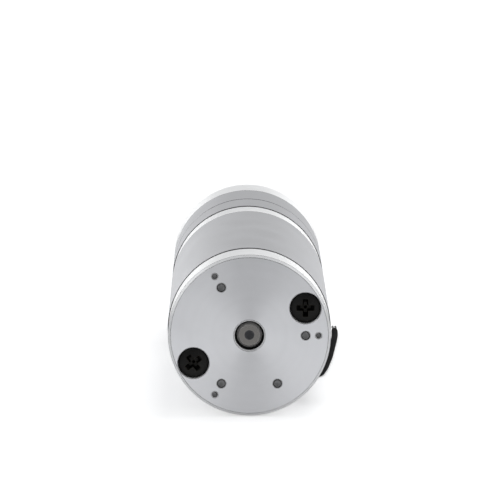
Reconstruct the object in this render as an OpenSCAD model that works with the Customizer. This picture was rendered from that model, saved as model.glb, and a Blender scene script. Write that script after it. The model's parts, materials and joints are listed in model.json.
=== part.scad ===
// DC gear motor: a brushed motor with a two-stage planetary gearbox.
// Each piece is drawn along Z, from the flange face back to the rear cap,
// and laid down so that the output shaft points along +Y.
// The origin is the centre of the flange face, and the body rests at Z = -body_d / 2.

/* [Housing] */
// Outside diameter of the body
body_d = 52; // [51:0.5:58]
// Length of the output flange
flange_len = 15.5; // [15.5:0.5:22]
// Length of the second ring gear, next to the flange
ring_2_len = 22; // [20.5:0.5:30]
// Length of the first ring gear, next to the motor
ring_1_len = 18; // [16.5:0.5:26]
// Length of the motor's front cap
front_cap_len = 13; // [12:0.5:20]
// Length of the motor tube
tube_len = 83.5; // [80:0.5:120]
// Length of the rear cap
rear_cap_len = 13.5; // [13:0.5:20]
// Wall of the motor tube
tube_wall = 3; // [2.5:0.1:3.5]
// Length of the spigots that centre the tube on its caps
spigot_len = 3; // [2:0.25:4]
// Length of the registers that centre the gearbox pieces
register_len = 1.8; // [1.4:0.1:2.2]
// Chamfer round the rear face
rear_chamfer = 0.8; // [0.3:0.1:0.9]
// Chamfer round the flange face
flange_chamfer = 0.5; // [0.3:0.1:1]
// Chamfer on each side of a joint line
joint_chamfer = 0.1; // [0.05:0.05:0.3]
// Step from the motor tube down to the turned caps
cap_step = 0.3; // [0.1:0.05:0.4]

/* [Rear face] */
// Pitch circle of the larger tapped holes
rear_m3_pcd = 35.4; // [34:0.1:36]
// Tapping diameter of the larger holes
rear_m3_d = 2.5; // [2.3:0.05:2.7]
// Depth of the larger holes
rear_m3_depth = 7; // [4:0.5:9]
// Pitch circle of the smaller tapped holes
rear_m2_pcd = 43.6; // [43:0.1:44.4]
// Tapping diameter of the smaller holes
rear_m2_d = 1.6; // [1.4:0.05:1.8]
// Depth of the smaller holes
rear_m2_depth = 5; // [3:0.5:7]
// Countersink round each tapped hole, across its mouth beyond the hole
tap_countersink = 0.5; // [0.2:0.05:0.7]
// Bore round the shaft end
rear_bore_d = 9.3; // [8.8:0.1:10.5]
// Chamfer round the mouth of the bore
rear_bore_chamfer = 0.35; // [0.2:0.05:1]
// How far the shaft end lies below the rear face
shaft_recess = 1.3; // [0.5:0.1:2.5]

/* [Through bolts] */
// Angle of the first bolt, seen from the rear
bolt_angle = 26.4; // [20:0.1:30]
// Distance of the bolt centres in from the outside
bolt_inset = 6.3; // [5.9:0.1:6.7]
// Thread diameter
bolt_d = 5; // [4:0.5:5]
// Head diameter
bolt_head_d = 9.5; // [8:0.1:9.8]
// Head height
bolt_head_len = 3.7; // [2.5:0.1:4]
// Depth of the counterbores
counterbore_depth = 4; // [3:0.1:5]
// Radial clearance between a head and its counterbore
head_clearance = 0.25; // [0.1:0.05:0.4]
// Length of the cross recess from tip to tip
recess_span = 5.8; // [4:0.1:6.2]
// Width of the cross recess arms
recess_w = 1.9; // [0.8:0.1:2.2]
// Depth of the cross recess
recess_depth = 2.2; // [1:0.1:2.5]
// Length of bolt thread held in the front cap
bolt_engagement = 9; // [6:0.5:10]

/* [Motor] */
// Shaft diameter at the bearings
shaft_d = 8; // [7:0.5:8.5]
// Shaft diameter inside the armature
shaft_body_d = 10; // [9.5:0.25:11]
// Shaft diameter under the first sun gear
shaft_nose_d = 6; // [5:0.25:6.5]
// Radial thickness of the magnets, as a share of the tube's inside radius
magnet_share = 0.26; // [0.24:0.01:0.28]
// Length of the magnets
magnet_len = 50; // [44:1:52]
// Half the angle that each magnet covers
magnet_half_angle = 58; // [45:1:62]
// Air gap between the magnets and the armature
air_gap = 0.6; // [0.4:0.05:1]
// Length of the lamination stack
core_len = 44; // [36:1:46]
// Number of armature slots and commutator bars
slots = 12; // [8, 10, 12, 14]
// Width of an armature tooth, as a share of the slot pitch
tooth_share = 0.22; // [0.16:0.01:0.26]
// Opening of a slot at the air gap
slot_opening = 1.6; // [1:0.1:2.2]
// Length of the end turns beyond the stack
end_turn_len = 7; // [5:0.25:7]
// Commutator diameter
commutator_d = 16; // [15:0.25:17]
// Commutator length under the brushes
commutator_len = 10; // [9:0.25:10.5]
// Length of the commutator's connecting risers
riser_len = 2; // [1:0.25:2]
// Height of the risers above the bars
riser_h = 1.3; // [0.5:0.1:1.3]
// Slot between two commutator bars
bar_gap = 0.5; // [0.3:0.05:0.8]

/* [Brush gear] */
// Brush size across the shaft
brush_w = 6; // [4:0.25:6.5]
// Brush size along the shaft
brush_t = 5; // [4:0.25:5.5]
// Brush length
brush_len = 7; // [5:0.25:8]
// Thickness of the brush card
card_t = 2; // [1.5:0.1:2.5]
// Wall of a brush holder
holder_wall = 0.8; // [0.5:0.1:1]
// Wire diameter of the brush springs
spring_wire_d = 0.5; // [0.4:0.05:0.7]
// Coil diameter of the brush springs, at the wire's centre
spring_coil_d = 4; // [3.4:0.1:4.2]
// Turns of each brush spring
spring_turns = 4.5; // [3.5:0.5:6]

/* [Motor bearings] */
// Outside diameter
motor_bearing_od = 22; // [20:0.5:24]
// Width
motor_bearing_w = 7; // [6:0.25:7.5]
// Ball diameter
motor_ball_d = 4; // [3.4:0.1:4.2]
// Number of balls
motor_balls = 7; // [6, 7, 8]
// Free space for the wave washer behind the rear bearing
wave_space = 1.2; // [0.9:0.1:1.5]
// Thickness of the wave washer
wave_t = 0.4; // [0.3:0.05:0.5]
// Number of waves round the wave washer
waves = 3; // [3, 4, 5]

/* [Gears] */
// Wall of the ring gears outside the roots of their teeth
ring_wall = 5.3; // [5:0.1:6.3]
// Teeth of each sun gear
sun_teeth = 15; // [12, 15, 18]
// Teeth of each planet gear
planet_teeth = 12; // [9, 12, 15]
// Pressure angle
pressure_angle = 25; // [22.5:0.5:25]
// Width of the planet gears
gear_w = 10; // [8:0.5:10.5]
// Circumferential play taken off each tooth
tooth_play = 0.12; // [0.1:0.01:0.16]
// Diameter of the planet pins
pin_d = 4; // [3:0.25:4.25]
// Thickness of the carrier plates
carrier_t = 4; // [3:0.25:4.5]
// Thickness of the thrust washers under the planets
washer_t = 0.5; // [0.3:0.05:0.6]
// Thickness of the planet retaining plates
retainer_t = 0.8; // [0.5:0.1:1]
// Axial play of each planet
end_play = 0.1; // [0.05:0.01:0.2]

/* [Output] */
// Diameter of the output shaft
output_d = 12; // [10:0.5:14]
// Length of the output shaft beyond the pilot
output_len = 25; // [15:1:40]
// Depth of the flat on the output shaft
flat_depth = 1; // [0.5:0.1:1]
// Length of the flat
flat_len = 12; // [6:1:14]
// Diameter of the bearing journal
journal_d = 15; // [14.5:0.5:16]
// Diameter of the pilot
pilot_d = 32; // [30:0.5:33]
// Height of the pilot
pilot_len = 3; // [2.5:0.25:4]
// Outside diameter of the shaft seal
seal_d = 22; // [21:0.5:23]
// Outside diameter of the output bearings
output_bearing_od = 28; // [27:0.5:29]
// Width of each output bearing
output_bearing_w = 7; // [6:0.25:7]
// Ball diameter of the output bearings
output_ball_d = 3.5; // [3:0.1:3.7]
// Balls in each output bearing
output_balls = 10; // [8, 9, 10, 11]
// Thickness of the circlips
circlip_t = 1; // [0.7:0.1:1]
// Pitch circle of the flange bolt holes
flange_pcd = 40; // [39:0.5:41]
// Tapping diameter of the flange bolt holes
flange_hole_d = 4.2; // [3.3:0.1:4.4]
// Depth of the flange bolt holes
flange_hole_depth = 10; // [6:0.5:12]
// Thread diameter of the long gearbox screws
screw_d = 2.5; // [2:0.1:2.6]
// Head diameter of the gearbox screws
screw_head_d = 4.5; // [3.8:0.1:4.5]
// Head height of the gearbox screws
screw_head_len = 2.5; // [2:0.1:2.5]
// Distance of the screw centres in from the outside
screw_inset = 2.5; // [2.4:0.05:2.6]
// Length of screw thread held in the front cap
screw_engagement = 8; // [5:0.5:10]

/* [Lead] */
// Diameter of the sleeved lead
lead_d = 2.2; // [2:0.1:2.3]
// Angle of the grommet round the tube
grommet_angle = -48; // [-50:1:-46]
// Distance of the grommet from the rear face
grommet_from_rear = 26; // [25:0.5:27]
// Diameter of the grommet's barrel
grommet_d = 3.8; // [3.6:0.1:4]
// Diameter of the bare lead tips
tip_d = 0.9; // [0.6:0.1:1]
// Length of the bare lead tips
tip_len = 8; // [4:0.5:10]

/* [Hidden] */
$fn = 96;

// Finishes
turned_aluminium = "Gainsboro";
satin_steel = "Silver";
ground_steel = "LightSteelBlue";
black_oxide = "DimGray";
copper = "Peru";
brass = "Goldenrod";
ferrite = "SlateGray";
phenolic = "Sienna";
rubber = "DarkSlateGray";

// Fits and small shared sizes
locating_fit = 0.05;
press_fit = 0.01;
running_fit = 0.04;
ball_gap = 0.15;
edge_break = 0.4;
joint_relief_w = 0.9;
joint_relief_t = 0.5;
seat_gap = 0.1;
cut = 1;
small_fn = 32;

// Stations along the axis, from the flange face back
body_r = body_d / 2;
cap_r = body_r - cap_step;
ring_2_z = flange_len;
ring_1_z = ring_2_z + ring_2_len;
front_cap_z = ring_1_z + ring_1_len;
tube_z = front_cap_z + front_cap_len;
rear_cap_z = tube_z + tube_len;
rear_z = rear_cap_z + rear_cap_len;
tube_in_r = body_r - tube_wall;
spigot_r = tube_in_r - locating_fit;
spigot_wall = 6;
spigot_in_r = tube_in_r - spigot_wall;

// Gear sizes that follow from the body and the teeth
addendum_share = 0.9;
dedendum_share = 1.2;
ring_teeth = sun_teeth + 2 * planet_teeth;
gear_module = (body_r - ring_wall) / (ring_teeth / 2 + dedendum_share);
addendum = addendum_share * gear_module;
dedendum = dedendum_share * gear_module;
sun_r = gear_module * sun_teeth / 2;
planet_r = gear_module * planet_teeth / 2;
ring_r = gear_module * ring_teeth / 2;
centre_distance = sun_r + planet_r;
sun_tip_r = sun_r + addendum;
ring_tip_r = ring_r - addendum;
ring_root_r = ring_r + dedendum;
planet_angles = [90, 210, 330];
pin_r = pin_d / 2;
pin_inset = 0.5;
tip_gap = 0.8;
carrier_r = ring_tip_r - tip_gap;
register_step = 0.8;
register_r = ring_root_r + register_step;
sun_seat_step = 0.3;
sun_seat_r = sun_r - dedendum - sun_seat_step;
sun_bore_r = 2;

// Stations of the gear train
pin_tail = 0.4;
thrust_gap = 0.8;
sun_gap = 0.5;
sun_overrun = 0.3;
carrier_gap = 0.6;
carrier_2_z = ring_2_z + register_len + carrier_gap;
planet_2_z = carrier_2_z + carrier_t + washer_t + end_play;
retainer_2_z = planet_2_z + gear_w + end_play;
carrier_1_z = retainer_2_z + retainer_t + pin_tail + thrust_gap;
planet_1_z = carrier_1_z + carrier_t + washer_t + end_play;
retainer_1_z = planet_1_z + gear_w + end_play;
sun_1_z = carrier_1_z + carrier_t + thrust_gap;
sun_1_end_z = retainer_1_z + retainer_t + sun_overrun;
sun_2_z = carrier_2_z + carrier_t + sun_gap;

// Output bearings, seal and circlips
output_bearing_z = 1.2;
pair_gap = 0.02;
output_bearing_end_z = output_bearing_z + 2 * output_bearing_w + pair_gap;
output_r = output_d / 2;
journal_r = journal_d / 2;
shoulder_step = 2;
shoulder_r = journal_r + shoulder_step;
groove_depth = 0.4;
seal_recess = 0.2;
seal_len = pilot_len - seal_recess;
circlip_groove = 0.8;
circlip_wall = 1.6;
circlip_open = 1.6;

// Motor bearings and shaft
front_floor = 3.5;
rear_lip = 1.6;
front_bearing_z = front_cap_z + front_floor;
front_bearing_end_z = front_bearing_z + motor_bearing_w;
rear_bearing_z = rear_cap_z + rear_lip;
rear_bearing_end_z = rear_bearing_z + motor_bearing_w;
wave_end_z = rear_bearing_end_z + wave_space;
shaft_end_z = rear_z - shaft_recess;
shaft_r = shaft_d / 2;
shaft_chamfer = 0.7;
centre_drill_r = 1.5;
centre_pilot_r = 0.5;
centre_pilot_depth = 3;
shield_t = 0.3;

// Armature and commutator
card_z = rear_cap_z - spigot_len - card_t;
commutator_end_z = card_z + card_t;
commutator_z = commutator_end_z - commutator_len;
riser_z = commutator_z - riser_len;
riser_gap = 0.5;
core_end_z = riser_z - riser_gap - end_turn_len;
core_z = core_end_z - core_len;
magnet_z = core_z + (core_len - magnet_len) / 2;
magnet_in_r = tube_in_r - locating_fit - magnet_share * tube_in_r;
core_r = magnet_in_r - air_gap;
tooth_w = tooth_share * 2 * PI * core_r / slots;
slot_floor_share = 0.525;
slot_rim = 1.8;
slot_in_r = slot_floor_share * core_r;
slot_out_r = core_r - slot_rim;
winding_gap = 0.2;
end_turn_floor = 1.2;
bar_t = 1.6;
commutator_r = commutator_d / 2;
hub_r = commutator_r - bar_t;

// Brush gear, across the line of the through bolts
brush_angles = [bolt_angle + 90, bolt_angle + 270];
brush_play = 0.05;
card_gap = 0.3;
card_bore_gap = 2.5;
holder_h = brush_t + 2 * brush_play + 2 * holder_wall;
brush_z = card_z - holder_h / 2;
holder_gap = 0.4;
holder_inset = 1.6;
holder_in_r = commutator_r + riser_h + holder_gap;
holder_out_r = tube_in_r - holder_inset;
pocket_end_r = holder_out_r - holder_wall;
brush_in_r = commutator_r + running_fit;
brush_out_r = brush_in_r + brush_len;

// Fasteners
bolt_r = bolt_d / 2;
bolt_angles = [bolt_angle, bolt_angle + 180];
bolt_circle_r = body_r - bolt_inset;
bolt_head_z = rear_z - counterbore_depth;
bolt_end_z = tube_z - bolt_engagement;
bolt_hole_r = bolt_r + 0.2;
bolt_turns = [0, 38];
dome_share = 1.6;
screw_r = screw_d / 2;
screw_angles = [0, 90, 180, 270];
screw_circle_r = body_r - screw_inset;
screw_head_inset = 0.3;
screw_head_z = screw_head_len + screw_head_inset;
screw_end_z = front_cap_z + screw_engagement;
screw_hole_r = screw_r + 0.15;
socket_across = screw_d * 0.8;
flange_angles = [45, 135, 225, 315];
rear_m3_angles = [0, 120, 240, 300];
rear_m2_angles = [0, 120, 240];
card_screw_r = 1.25;
card_screw_head_r = 2.3;
card_screw_head_len = 1.6;
card_screw_slot = 0.6;
card_screw_inset = 3.2;
card_screw_angles = [bolt_angle + 45, bolt_angle + 225];
card_screw_circle_r = tube_in_r - card_screw_inset;
card_screw_len = 6;

// Grommet and lead. The route runs from the grommet's mouth, in the laid frame,
// down to the surface that the body rests on and along beside the body.
grommet_r = grommet_d / 2;
grommet_z = rear_z - grommet_from_rear;
grommet_axis_r = body_r + 1.25;
grommet_neck_r = 2;
grommet_lip_t = 0.8;
grommet_flange_r = 3.8;
grommet_flange_t = 0.9;
grommet_mouth = 8;
lead_sides = 8;
tip_spread = 0.5;
wire_d = 1.4;
wire_sides = 6;
lead_route = [
    [18.2, -131.5, -20.3], [18.2, -128, -20.3], [18.4, -124, -20.7], [18.8, -120, -21.6],
    [19.5, -116, -22.7], [20.4, -112, -23.7], [21.5, -108, -24.5], [22.7, -104, -24.8],
    [23.9, -100, -24.9], [25, -95, -24.9], [26.2, -86, -24.9], [27.3, -76, -24.9],
    [28.4, -65, -24.9], [29.3, -54, -24.9], [30.1, -43, -24.9], [30.8, -33, -24.9],
    [31.4, -24, -24.9], [31.6, -19, -24.9], [31.7, -16, -24.9], [31.7, -13.5, -24.9]
];

// Geometry helpers
module laid() {
    rotate([90, 0, 0]) children();
}

module ring(r_out, r_in, h) {
    difference() {
        cylinder(r = r_out, h = h);
        translate([0, 0, -cut]) cylinder(r = r_in, h = h + 2 * cut);
    }
}

module around(angles, radius) {
    for (a = angles) rotate(a) translate([radius, 0, 0]) children();
}

// A disc with a chamfer at its low end and at its high end
module drum(r, h, low, high) {
    low_edge = low > 0 ? [[r - low, 0], [r, low]] : [[r, 0]];
    high_edge = high > 0 ? [[r, h - high], [r - high, h]] : [[r, h]];
    rotate_extrude() polygon(concat([[0, 0]], low_edge, high_edge, [[0, h]]));
}

// A tapped hole that opens at z = 0 and runs towards negative z
module tapped_hole(d, depth) {
    translate([0, 0, -depth]) cylinder(d = d, h = depth + cut, $fn = small_fn);
    translate([0, 0, -tap_countersink / 2])
        cylinder(d1 = d, d2 = d + 2 * tap_countersink, h = tap_countersink, $fn = small_fn);
}

// A lathe centre hole that opens at z = 0 and runs towards positive z
module centre_hole(mouth_r) {
    cone = mouth_r - centre_pilot_r;
    translate([0, 0, -0.001]) cylinder(r1 = mouth_r, r2 = centre_pilot_r, h = cone, $fn = small_fn);
    cylinder(r = centre_pilot_r, h = centre_pilot_depth, $fn = small_fn);
}

// A sector of a ring, centred on the X axis
module arc_block(r_out, r_in, h, half_angle) {
    reach = 2 * r_out;
    intersection() {
        ring(r_out, r_in, h);
        linear_extrude(height = h)
            polygon([[0, 0], [reach * cos(half_angle), -reach * sin(half_angle)], [reach, 0],
                     [reach * cos(half_angle), reach * sin(half_angle)]]);
    }
}

// Involute teeth
function involute(a) = tan(a) * 180 / PI - a;
function base_r(teeth) = gear_module * teeth / 2 * cos(pressure_angle);
function tooth_half_angle(teeth, r, play) =
    let (pitch_r = gear_module * teeth / 2, base = base_r(teeth))
    90 / teeth - play / (2 * pitch_r) * 180 / PI
    + involute(pressure_angle) - involute(acos(base / max(r, base)));
function flank_radii(teeth, root_r, tip_r) =
    let (start = max(root_r, base_r(teeth)), steps = 3)
    concat(root_r < start ? [root_r] : [],
           [for (i = [0:steps]) start + (tip_r - start) * i / steps]);
function tooth_points(teeth, radii, play, centre) =
    concat([for (i = [0:len(radii) - 1])
                let (a = centre - tooth_half_angle(teeth, radii[i], play))
                radii[i] * [cos(a), sin(a)]],
           [for (i = [len(radii) - 1:-1:0])
                let (a = centre + tooth_half_angle(teeth, radii[i], play))
                radii[i] * [cos(a), sin(a)]]);
function gear_points(teeth, root_r, tip_r, play) =
    let (radii = flank_radii(teeth, root_r, tip_r))
    [for (i = [0:teeth - 1]) each tooth_points(teeth, radii, play, i * 360 / teeth)];

// An external gear with a tooth centred on the X axis
module spur_gear(teeth, width, bore_r) {
    pitch_r = gear_module * teeth / 2;
    difference() {
        linear_extrude(height = width)
            polygon(gear_points(teeth, pitch_r - dedendum, pitch_r + addendum, tooth_play));
        translate([0, 0, -cut]) cylinder(r = bore_r, h = width + 2 * cut);
    }
}

// Ball bearing pieces, with the pitch circle halfway between bore and outside
function bearing_pitch_r(bore, od) = (bore + od) / 4;
function bearing_shoulder(ball_d) = 0.3 * ball_d;

module ball_groove(bore, od, w, ball_d) {
    translate([0, 0, w / 2])
        rotate_extrude()
            translate([bearing_pitch_r(bore, od), 0])
                circle(r = ball_d / 2 + ball_gap, $fn = 48);
}

module outer_race(bore, od, w, ball_d) {
    difference() {
        ring(od / 2, bearing_pitch_r(bore, od) + bearing_shoulder(ball_d), w);
        ball_groove(bore, od, w, ball_d);
    }
}

module inner_race(bore, od, w, ball_d) {
    difference() {
        ring(bearing_pitch_r(bore, od) - bearing_shoulder(ball_d), bore / 2 + press_fit, w);
        ball_groove(bore, od, w, ball_d);
    }
}

module ball_row(bore, od, w, ball_d, balls) {
    for (i = [0:balls - 1])
        rotate(i * 360 / balls)
            translate([bearing_pitch_r(bore, od), 0, w / 2]) sphere(d = ball_d, $fn = 24);
}

module ball_cage(bore, od, w, ball_d, balls) {
    half = bearing_shoulder(ball_d) - 0.35;
    in_r = bearing_pitch_r(bore, od) - half;
    cage_w = ball_d + 1;
    difference() {
        translate([0, 0, (w - cage_w) / 2]) ring(in_r + 2 * half, in_r, cage_w);
        for (i = [0:balls - 1])
            rotate(i * 360 / balls) translate([in_r - half, 0, w / 2]) rotate([0, 90, 0])
                cylinder(r = ball_d / 2 + ball_gap, h = 4 * half, $fn = small_fn);
    }
}

// A round bar swept along points, with its section turned by a reference direction
function unit(v) = v / norm(v);
function path_tangent(path, i) = unit(path[min(i + 1, len(path) - 1)] - path[max(i - 1, 0)]);
function swept_ring(point, tangent, ref, r, sides) =
    let (side = unit(cross(tangent, ref)), up = cross(side, tangent))
    [for (j = [0:sides - 1])
        point + r * (cos(j * 360 / sides) * side + sin(j * 360 / sides) * up)];
function swept_faces(rings, sides) =
    [for (i = [0:rings - 2], j = [0:sides - 1], half = [0, 1])
        let (a = i * sides + j, b = i * sides + (j + 1) % sides)
        half == 0 ? [a, b, b + sides] : [a, b + sides, a + sides]];

module swept_bar(path, ref, r, sides) {
    rings = len(path);
    last = (rings - 1) * sides;
    polyhedron(
        points = [for (i = [0:rings - 1])
            each swept_ring(path[i], path_tangent(path, i), ref, r, sides)],
        faces = concat(swept_faces(rings, sides),
                       [[for (j = [sides - 1:-1:0]) j]],
                       [[for (j = [0:sides - 1]) last + j]]));
}

// Housing
module rear_cap() {
    color(turned_aluminium) laid() difference() {
        union() {
            translate([0, 0, rear_cap_z]) drum(cap_r, rear_cap_len, joint_chamfer, rear_chamfer);
            translate([0, 0, rear_cap_z - spigot_len])
                ring(spigot_r, spigot_in_r, spigot_len + cut);
        }
        translate([0, 0, rear_cap_z - cut])
            cylinder(r = motor_bearing_od / 2 + press_fit, h = wave_end_z - rear_cap_z + cut);
        cylinder(d = rear_bore_d, h = rear_z + cut);
        translate([0, 0, rear_z - rear_bore_chamfer])
            cylinder(d1 = rear_bore_d, d2 = rear_bore_d + 2 * rear_bore_chamfer + 0.02,
                     h = rear_bore_chamfer + 0.01);
        around(bolt_angles, bolt_circle_r) {
            cylinder(r = bolt_hole_r, h = rear_z);
            translate([0, 0, bolt_head_z])
                cylinder(r = bolt_head_d / 2 + head_clearance, h = counterbore_depth + cut);
        }
        translate([0, 0, rear_z]) {
            around(rear_m3_angles, rear_m3_pcd / 2) tapped_hole(rear_m3_d, rear_m3_depth);
            around(rear_m2_angles, rear_m2_pcd / 2) tapped_hole(rear_m2_d, rear_m2_depth);
        }
        around(card_screw_angles, card_screw_circle_r)
            translate([0, 0, card_z])
                cylinder(r = card_screw_r + press_fit, h = card_screw_len + cut, $fn = small_fn);
    }
}

module motor_tube() {
    color(satin_steel) laid() difference() {
        translate([0, 0, tube_z]) drum(body_r, tube_len, 0, joint_chamfer);
        translate([0, 0, tube_z - cut]) cylinder(r = tube_in_r, h = tube_len + 2 * cut);
        rotate(grommet_angle)
            translate([tube_in_r - cut, 0, grommet_z])
                rotate([0, 90, 0])
                    cylinder(r = grommet_neck_r + seat_gap, h = tube_wall + 2 * cut, $fn = small_fn);
    }
}

module front_cap() {
    color(turned_aluminium) laid() difference() {
        union() {
            translate([0, 0, front_cap_z]) drum(cap_r, front_cap_len, joint_chamfer, 0);
            translate([0, 0, tube_z - cut]) ring(spigot_r, spigot_in_r, spigot_len + cut);
            translate([0, 0, front_cap_z - register_len])
                cylinder(r = register_r - locating_fit, h = register_len + cut);
        }
        translate([0, 0, front_bearing_z])
            cylinder(r = motor_bearing_od / 2 + press_fit, h = front_cap_len + cut);
        translate([0, 0, front_cap_z - register_len - cut])
            cylinder(r = shaft_r + holder_gap, h = front_cap_len);
        around(bolt_angles, bolt_circle_r)
            translate([0, 0, bolt_end_z - 1])
                cylinder(r = bolt_r + press_fit, h = front_cap_len + spigot_len + cut);
        around(screw_angles, screw_circle_r)
            translate([0, 0, front_cap_z - cut])
                cylinder(r = screw_r + press_fit, h = screw_engagement + 1 + cut, $fn = small_fn);
    }
}

// Internal teeth, cut so that a planet meshes with the ring and the sun at once
module ring_gear(z, len, low_chamfer, high_chamfer, socket_z) {
    ring_space_angle = planet_angles[0] + (planet_teeth + 1) * 180 / ring_teeth;
    difference() {
        translate([0, 0, z]) drum(body_r, len, low_chamfer, high_chamfer);
        translate([0, 0, z - register_len - cut])
            linear_extrude(height = len + register_len + 2 * cut)
                rotate(ring_space_angle)
                    polygon(gear_points(ring_teeth, ring_tip_r, ring_root_r, -tooth_play));
        translate([0, 0, socket_z]) cylinder(r = register_r, h = register_len + seat_gap + cut);
        around(screw_angles, screw_circle_r)
            translate([0, 0, z - cut]) cylinder(r = screw_hole_r, h = len + 2 * cut, $fn = small_fn);
    }
}

module ring_gear_1() {
    color(satin_steel) laid() difference() {
        ring_gear(ring_1_z, ring_1_len, seat_gap, joint_chamfer, front_cap_z - register_len - seat_gap);
        translate([0, 0, ring_1_z - cut]) cylinder(r = register_r, h = register_len + seat_gap + cut);
        translate([0, 0, ring_1_z - cut])
            ring(body_r + cut, body_r - joint_relief_t, joint_relief_w + cut);
    }
}

module ring_gear_2() {
    register_z = ring_1_z - cut;
    color(satin_steel) laid() {
        ring_gear(ring_2_z, ring_2_len, 0, seat_gap, ring_2_z - cut);
        translate([0, 0, register_z])
            ring(register_r - locating_fit, ring_root_r + seat_gap, register_len + cut);
    }
}

module output_flange() {
    color(turned_aluminium) laid() difference() {
        union() {
            drum(body_r, flange_len, flange_chamfer, 0);
            translate([0, 0, -pilot_len]) drum(pilot_d / 2, pilot_len + cut, flange_chamfer, 0);
            translate([0, 0, ring_2_z - cut])
                cylinder(r = register_r - locating_fit, h = register_len + cut);
        }
        translate([0, 0, -pilot_len - cut]) cylinder(d = seal_d, h = pilot_len + 2 * cut + 1);
        translate([0, 0, output_bearing_z])
            cylinder(r = output_bearing_od / 2 + press_fit, h = flange_len + register_len);
        translate([0, 0, output_bearing_end_z])
            cylinder(r = output_bearing_od / 2 + circlip_groove, h = circlip_t + seat_gap);
        around(flange_angles, flange_pcd / 2)
            mirror([0, 0, 1]) tapped_hole(flange_hole_d, flange_hole_depth);
        around(screw_angles, screw_circle_r) {
            translate([0, 0, -cut]) cylinder(r = screw_hole_r, h = flange_len + 2 * cut, $fn = small_fn);
            translate([0, 0, -cut])
                cylinder(r = screw_head_d / 2 + locating_fit, h = screw_head_z + cut, $fn = small_fn);
        }
    }
}

// Fasteners
module cross_recess(span, w, depth) {
    translate([-span / 2, -w / 2, -depth]) cube([span, w, depth + cut]);
    translate([-w / 2, -span / 2, -depth]) cube([w, span, depth + cut]);
}

module through_bolt(turn) {
    dome_r = bolt_head_d * dome_share;
    head_top_z = bolt_head_z + bolt_head_len;
    translate([0, 0, bolt_end_z]) cylinder(r = bolt_r, h = bolt_head_z - bolt_end_z + seat_gap);
    difference() {
        intersection() {
            translate([0, 0, bolt_head_z]) cylinder(d = bolt_head_d, h = bolt_head_len);
            translate([0, 0, head_top_z - dome_r]) sphere(r = dome_r, $fn = 96);
        }
        translate([0, 0, head_top_z]) rotate(turn) cross_recess(recess_span, recess_w, recess_depth);
    }
}

module through_bolts() {
    color(black_oxide) laid()
        for (i = [0, 1])
            rotate(bolt_angles[i])
                translate([bolt_circle_r, 0, 0])
                    rotate(-bolt_angles[i]) through_bolt(bolt_turns[i]);
}

module gearbox_screws() {
    color(black_oxide) laid() around(screw_angles, screw_circle_r) {
        translate([0, 0, screw_head_z - seat_gap])
            cylinder(r = screw_r, h = screw_end_z - screw_head_z + seat_gap, $fn = small_fn);
        difference() {
            translate([0, 0, screw_head_z - screw_head_len])
                cylinder(d = screw_head_d, h = screw_head_len, $fn = small_fn);
            translate([0, 0, screw_head_z - screw_head_len - cut])
                cylinder(d = socket_across / cos(30), h = screw_head_len / 2 + cut, $fn = 6);
        }
    }
}

// Motor
module magnets() {
    color(ferrite) laid()
        for (a = brush_angles)
            rotate(a) translate([0, 0, magnet_z])
                arc_block(tube_in_r - locating_fit, magnet_in_r, magnet_len, magnet_half_angle);
}

module motor_shaft() {
    shoulder = shaft_body_d / 2;
    nose = shaft_nose_d / 2;
    color(ground_steel) laid() difference() {
        rotate_extrude()
            polygon([[0, sun_1_z], [nose - edge_break, sun_1_z], [nose, sun_1_z + edge_break],
                     [nose, sun_1_end_z], [shaft_r, sun_1_end_z],
                     [shaft_r, front_bearing_end_z], [shoulder, front_bearing_end_z],
                     [shoulder, rear_bearing_z], [shaft_r, rear_bearing_z],
                     [shaft_r, shaft_end_z - shaft_chamfer], [shaft_r - shaft_chamfer, shaft_end_z],
                     [0, shaft_end_z]]);
        translate([0, 0, shaft_end_z]) mirror([0, 0, 1]) centre_hole(centre_drill_r);
    }
}

function slot_half_w(r) = r * sin(180 / slots) - tooth_w / 2;

module slot_outline(gap) {
    in_w = slot_half_w(slot_in_r) - gap;
    out_w = slot_half_w(slot_out_r) - gap;
    polygon([[slot_in_r + gap, -in_w], [slot_out_r - gap, -out_w],
             [slot_out_r - gap, out_w], [slot_in_r + gap, in_w]]);
}

module armature_core() {
    color(satin_steel) laid() translate([0, 0, core_z]) difference() {
        ring(core_r, shaft_body_d / 2 + press_fit, core_len);
        for (i = [0:slots - 1])
            rotate(i * 360 / slots) translate([0, 0, -cut]) linear_extrude(height = core_len + 2 * cut) {
                slot_outline(0);
                translate([slot_out_r - cut / 2, -slot_opening / 2]) square([core_r, slot_opening]);
            }
    }
}

module end_turns() {
    in_r = shaft_body_d / 2 + end_turn_floor;
    out_r = slot_out_r - winding_gap;
    bend = end_turn_len / 5;
    rotate_extrude()
        polygon([[in_r, 0], [out_r, 0], [out_r, end_turn_len - 2 * bend],
                 [out_r - bend, end_turn_len - bend / 2], [out_r - 2.5 * bend, end_turn_len],
                 [in_r + bend, end_turn_len], [in_r, end_turn_len - bend]]);
}

module armature_windings() {
    color(copper) laid() {
        for (i = [0:slots - 1])
            rotate(i * 360 / slots) translate([0, 0, core_z - cut])
                linear_extrude(height = core_len + 2 * cut) slot_outline(winding_gap);
        translate([0, 0, core_end_z]) end_turns();
        translate([0, 0, core_z]) mirror([0, 0, 1]) end_turns();
    }
}

module commutator_hub() {
    color(phenolic) laid() translate([0, 0, riser_z])
        ring(hub_r, shaft_body_d / 2 + press_fit, riser_len + commutator_len);
}

module commutator_bars() {
    riser_r = commutator_r + riser_h;
    color(copper) laid() translate([0, 0, riser_z]) difference() {
        rotate_extrude()
            polygon([[hub_r, 0], [riser_r, 0], [riser_r, riser_len], [commutator_r, riser_len],
                     [commutator_r, riser_len + commutator_len], [hub_r, riser_len + commutator_len]]);
        for (i = [0:slots - 1])
            rotate((i + 0.5) * 360 / slots) translate([0, -bar_gap / 2, -cut])
                cube([body_r, bar_gap, riser_len + commutator_len + 2 * cut]);
    }
}

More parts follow.
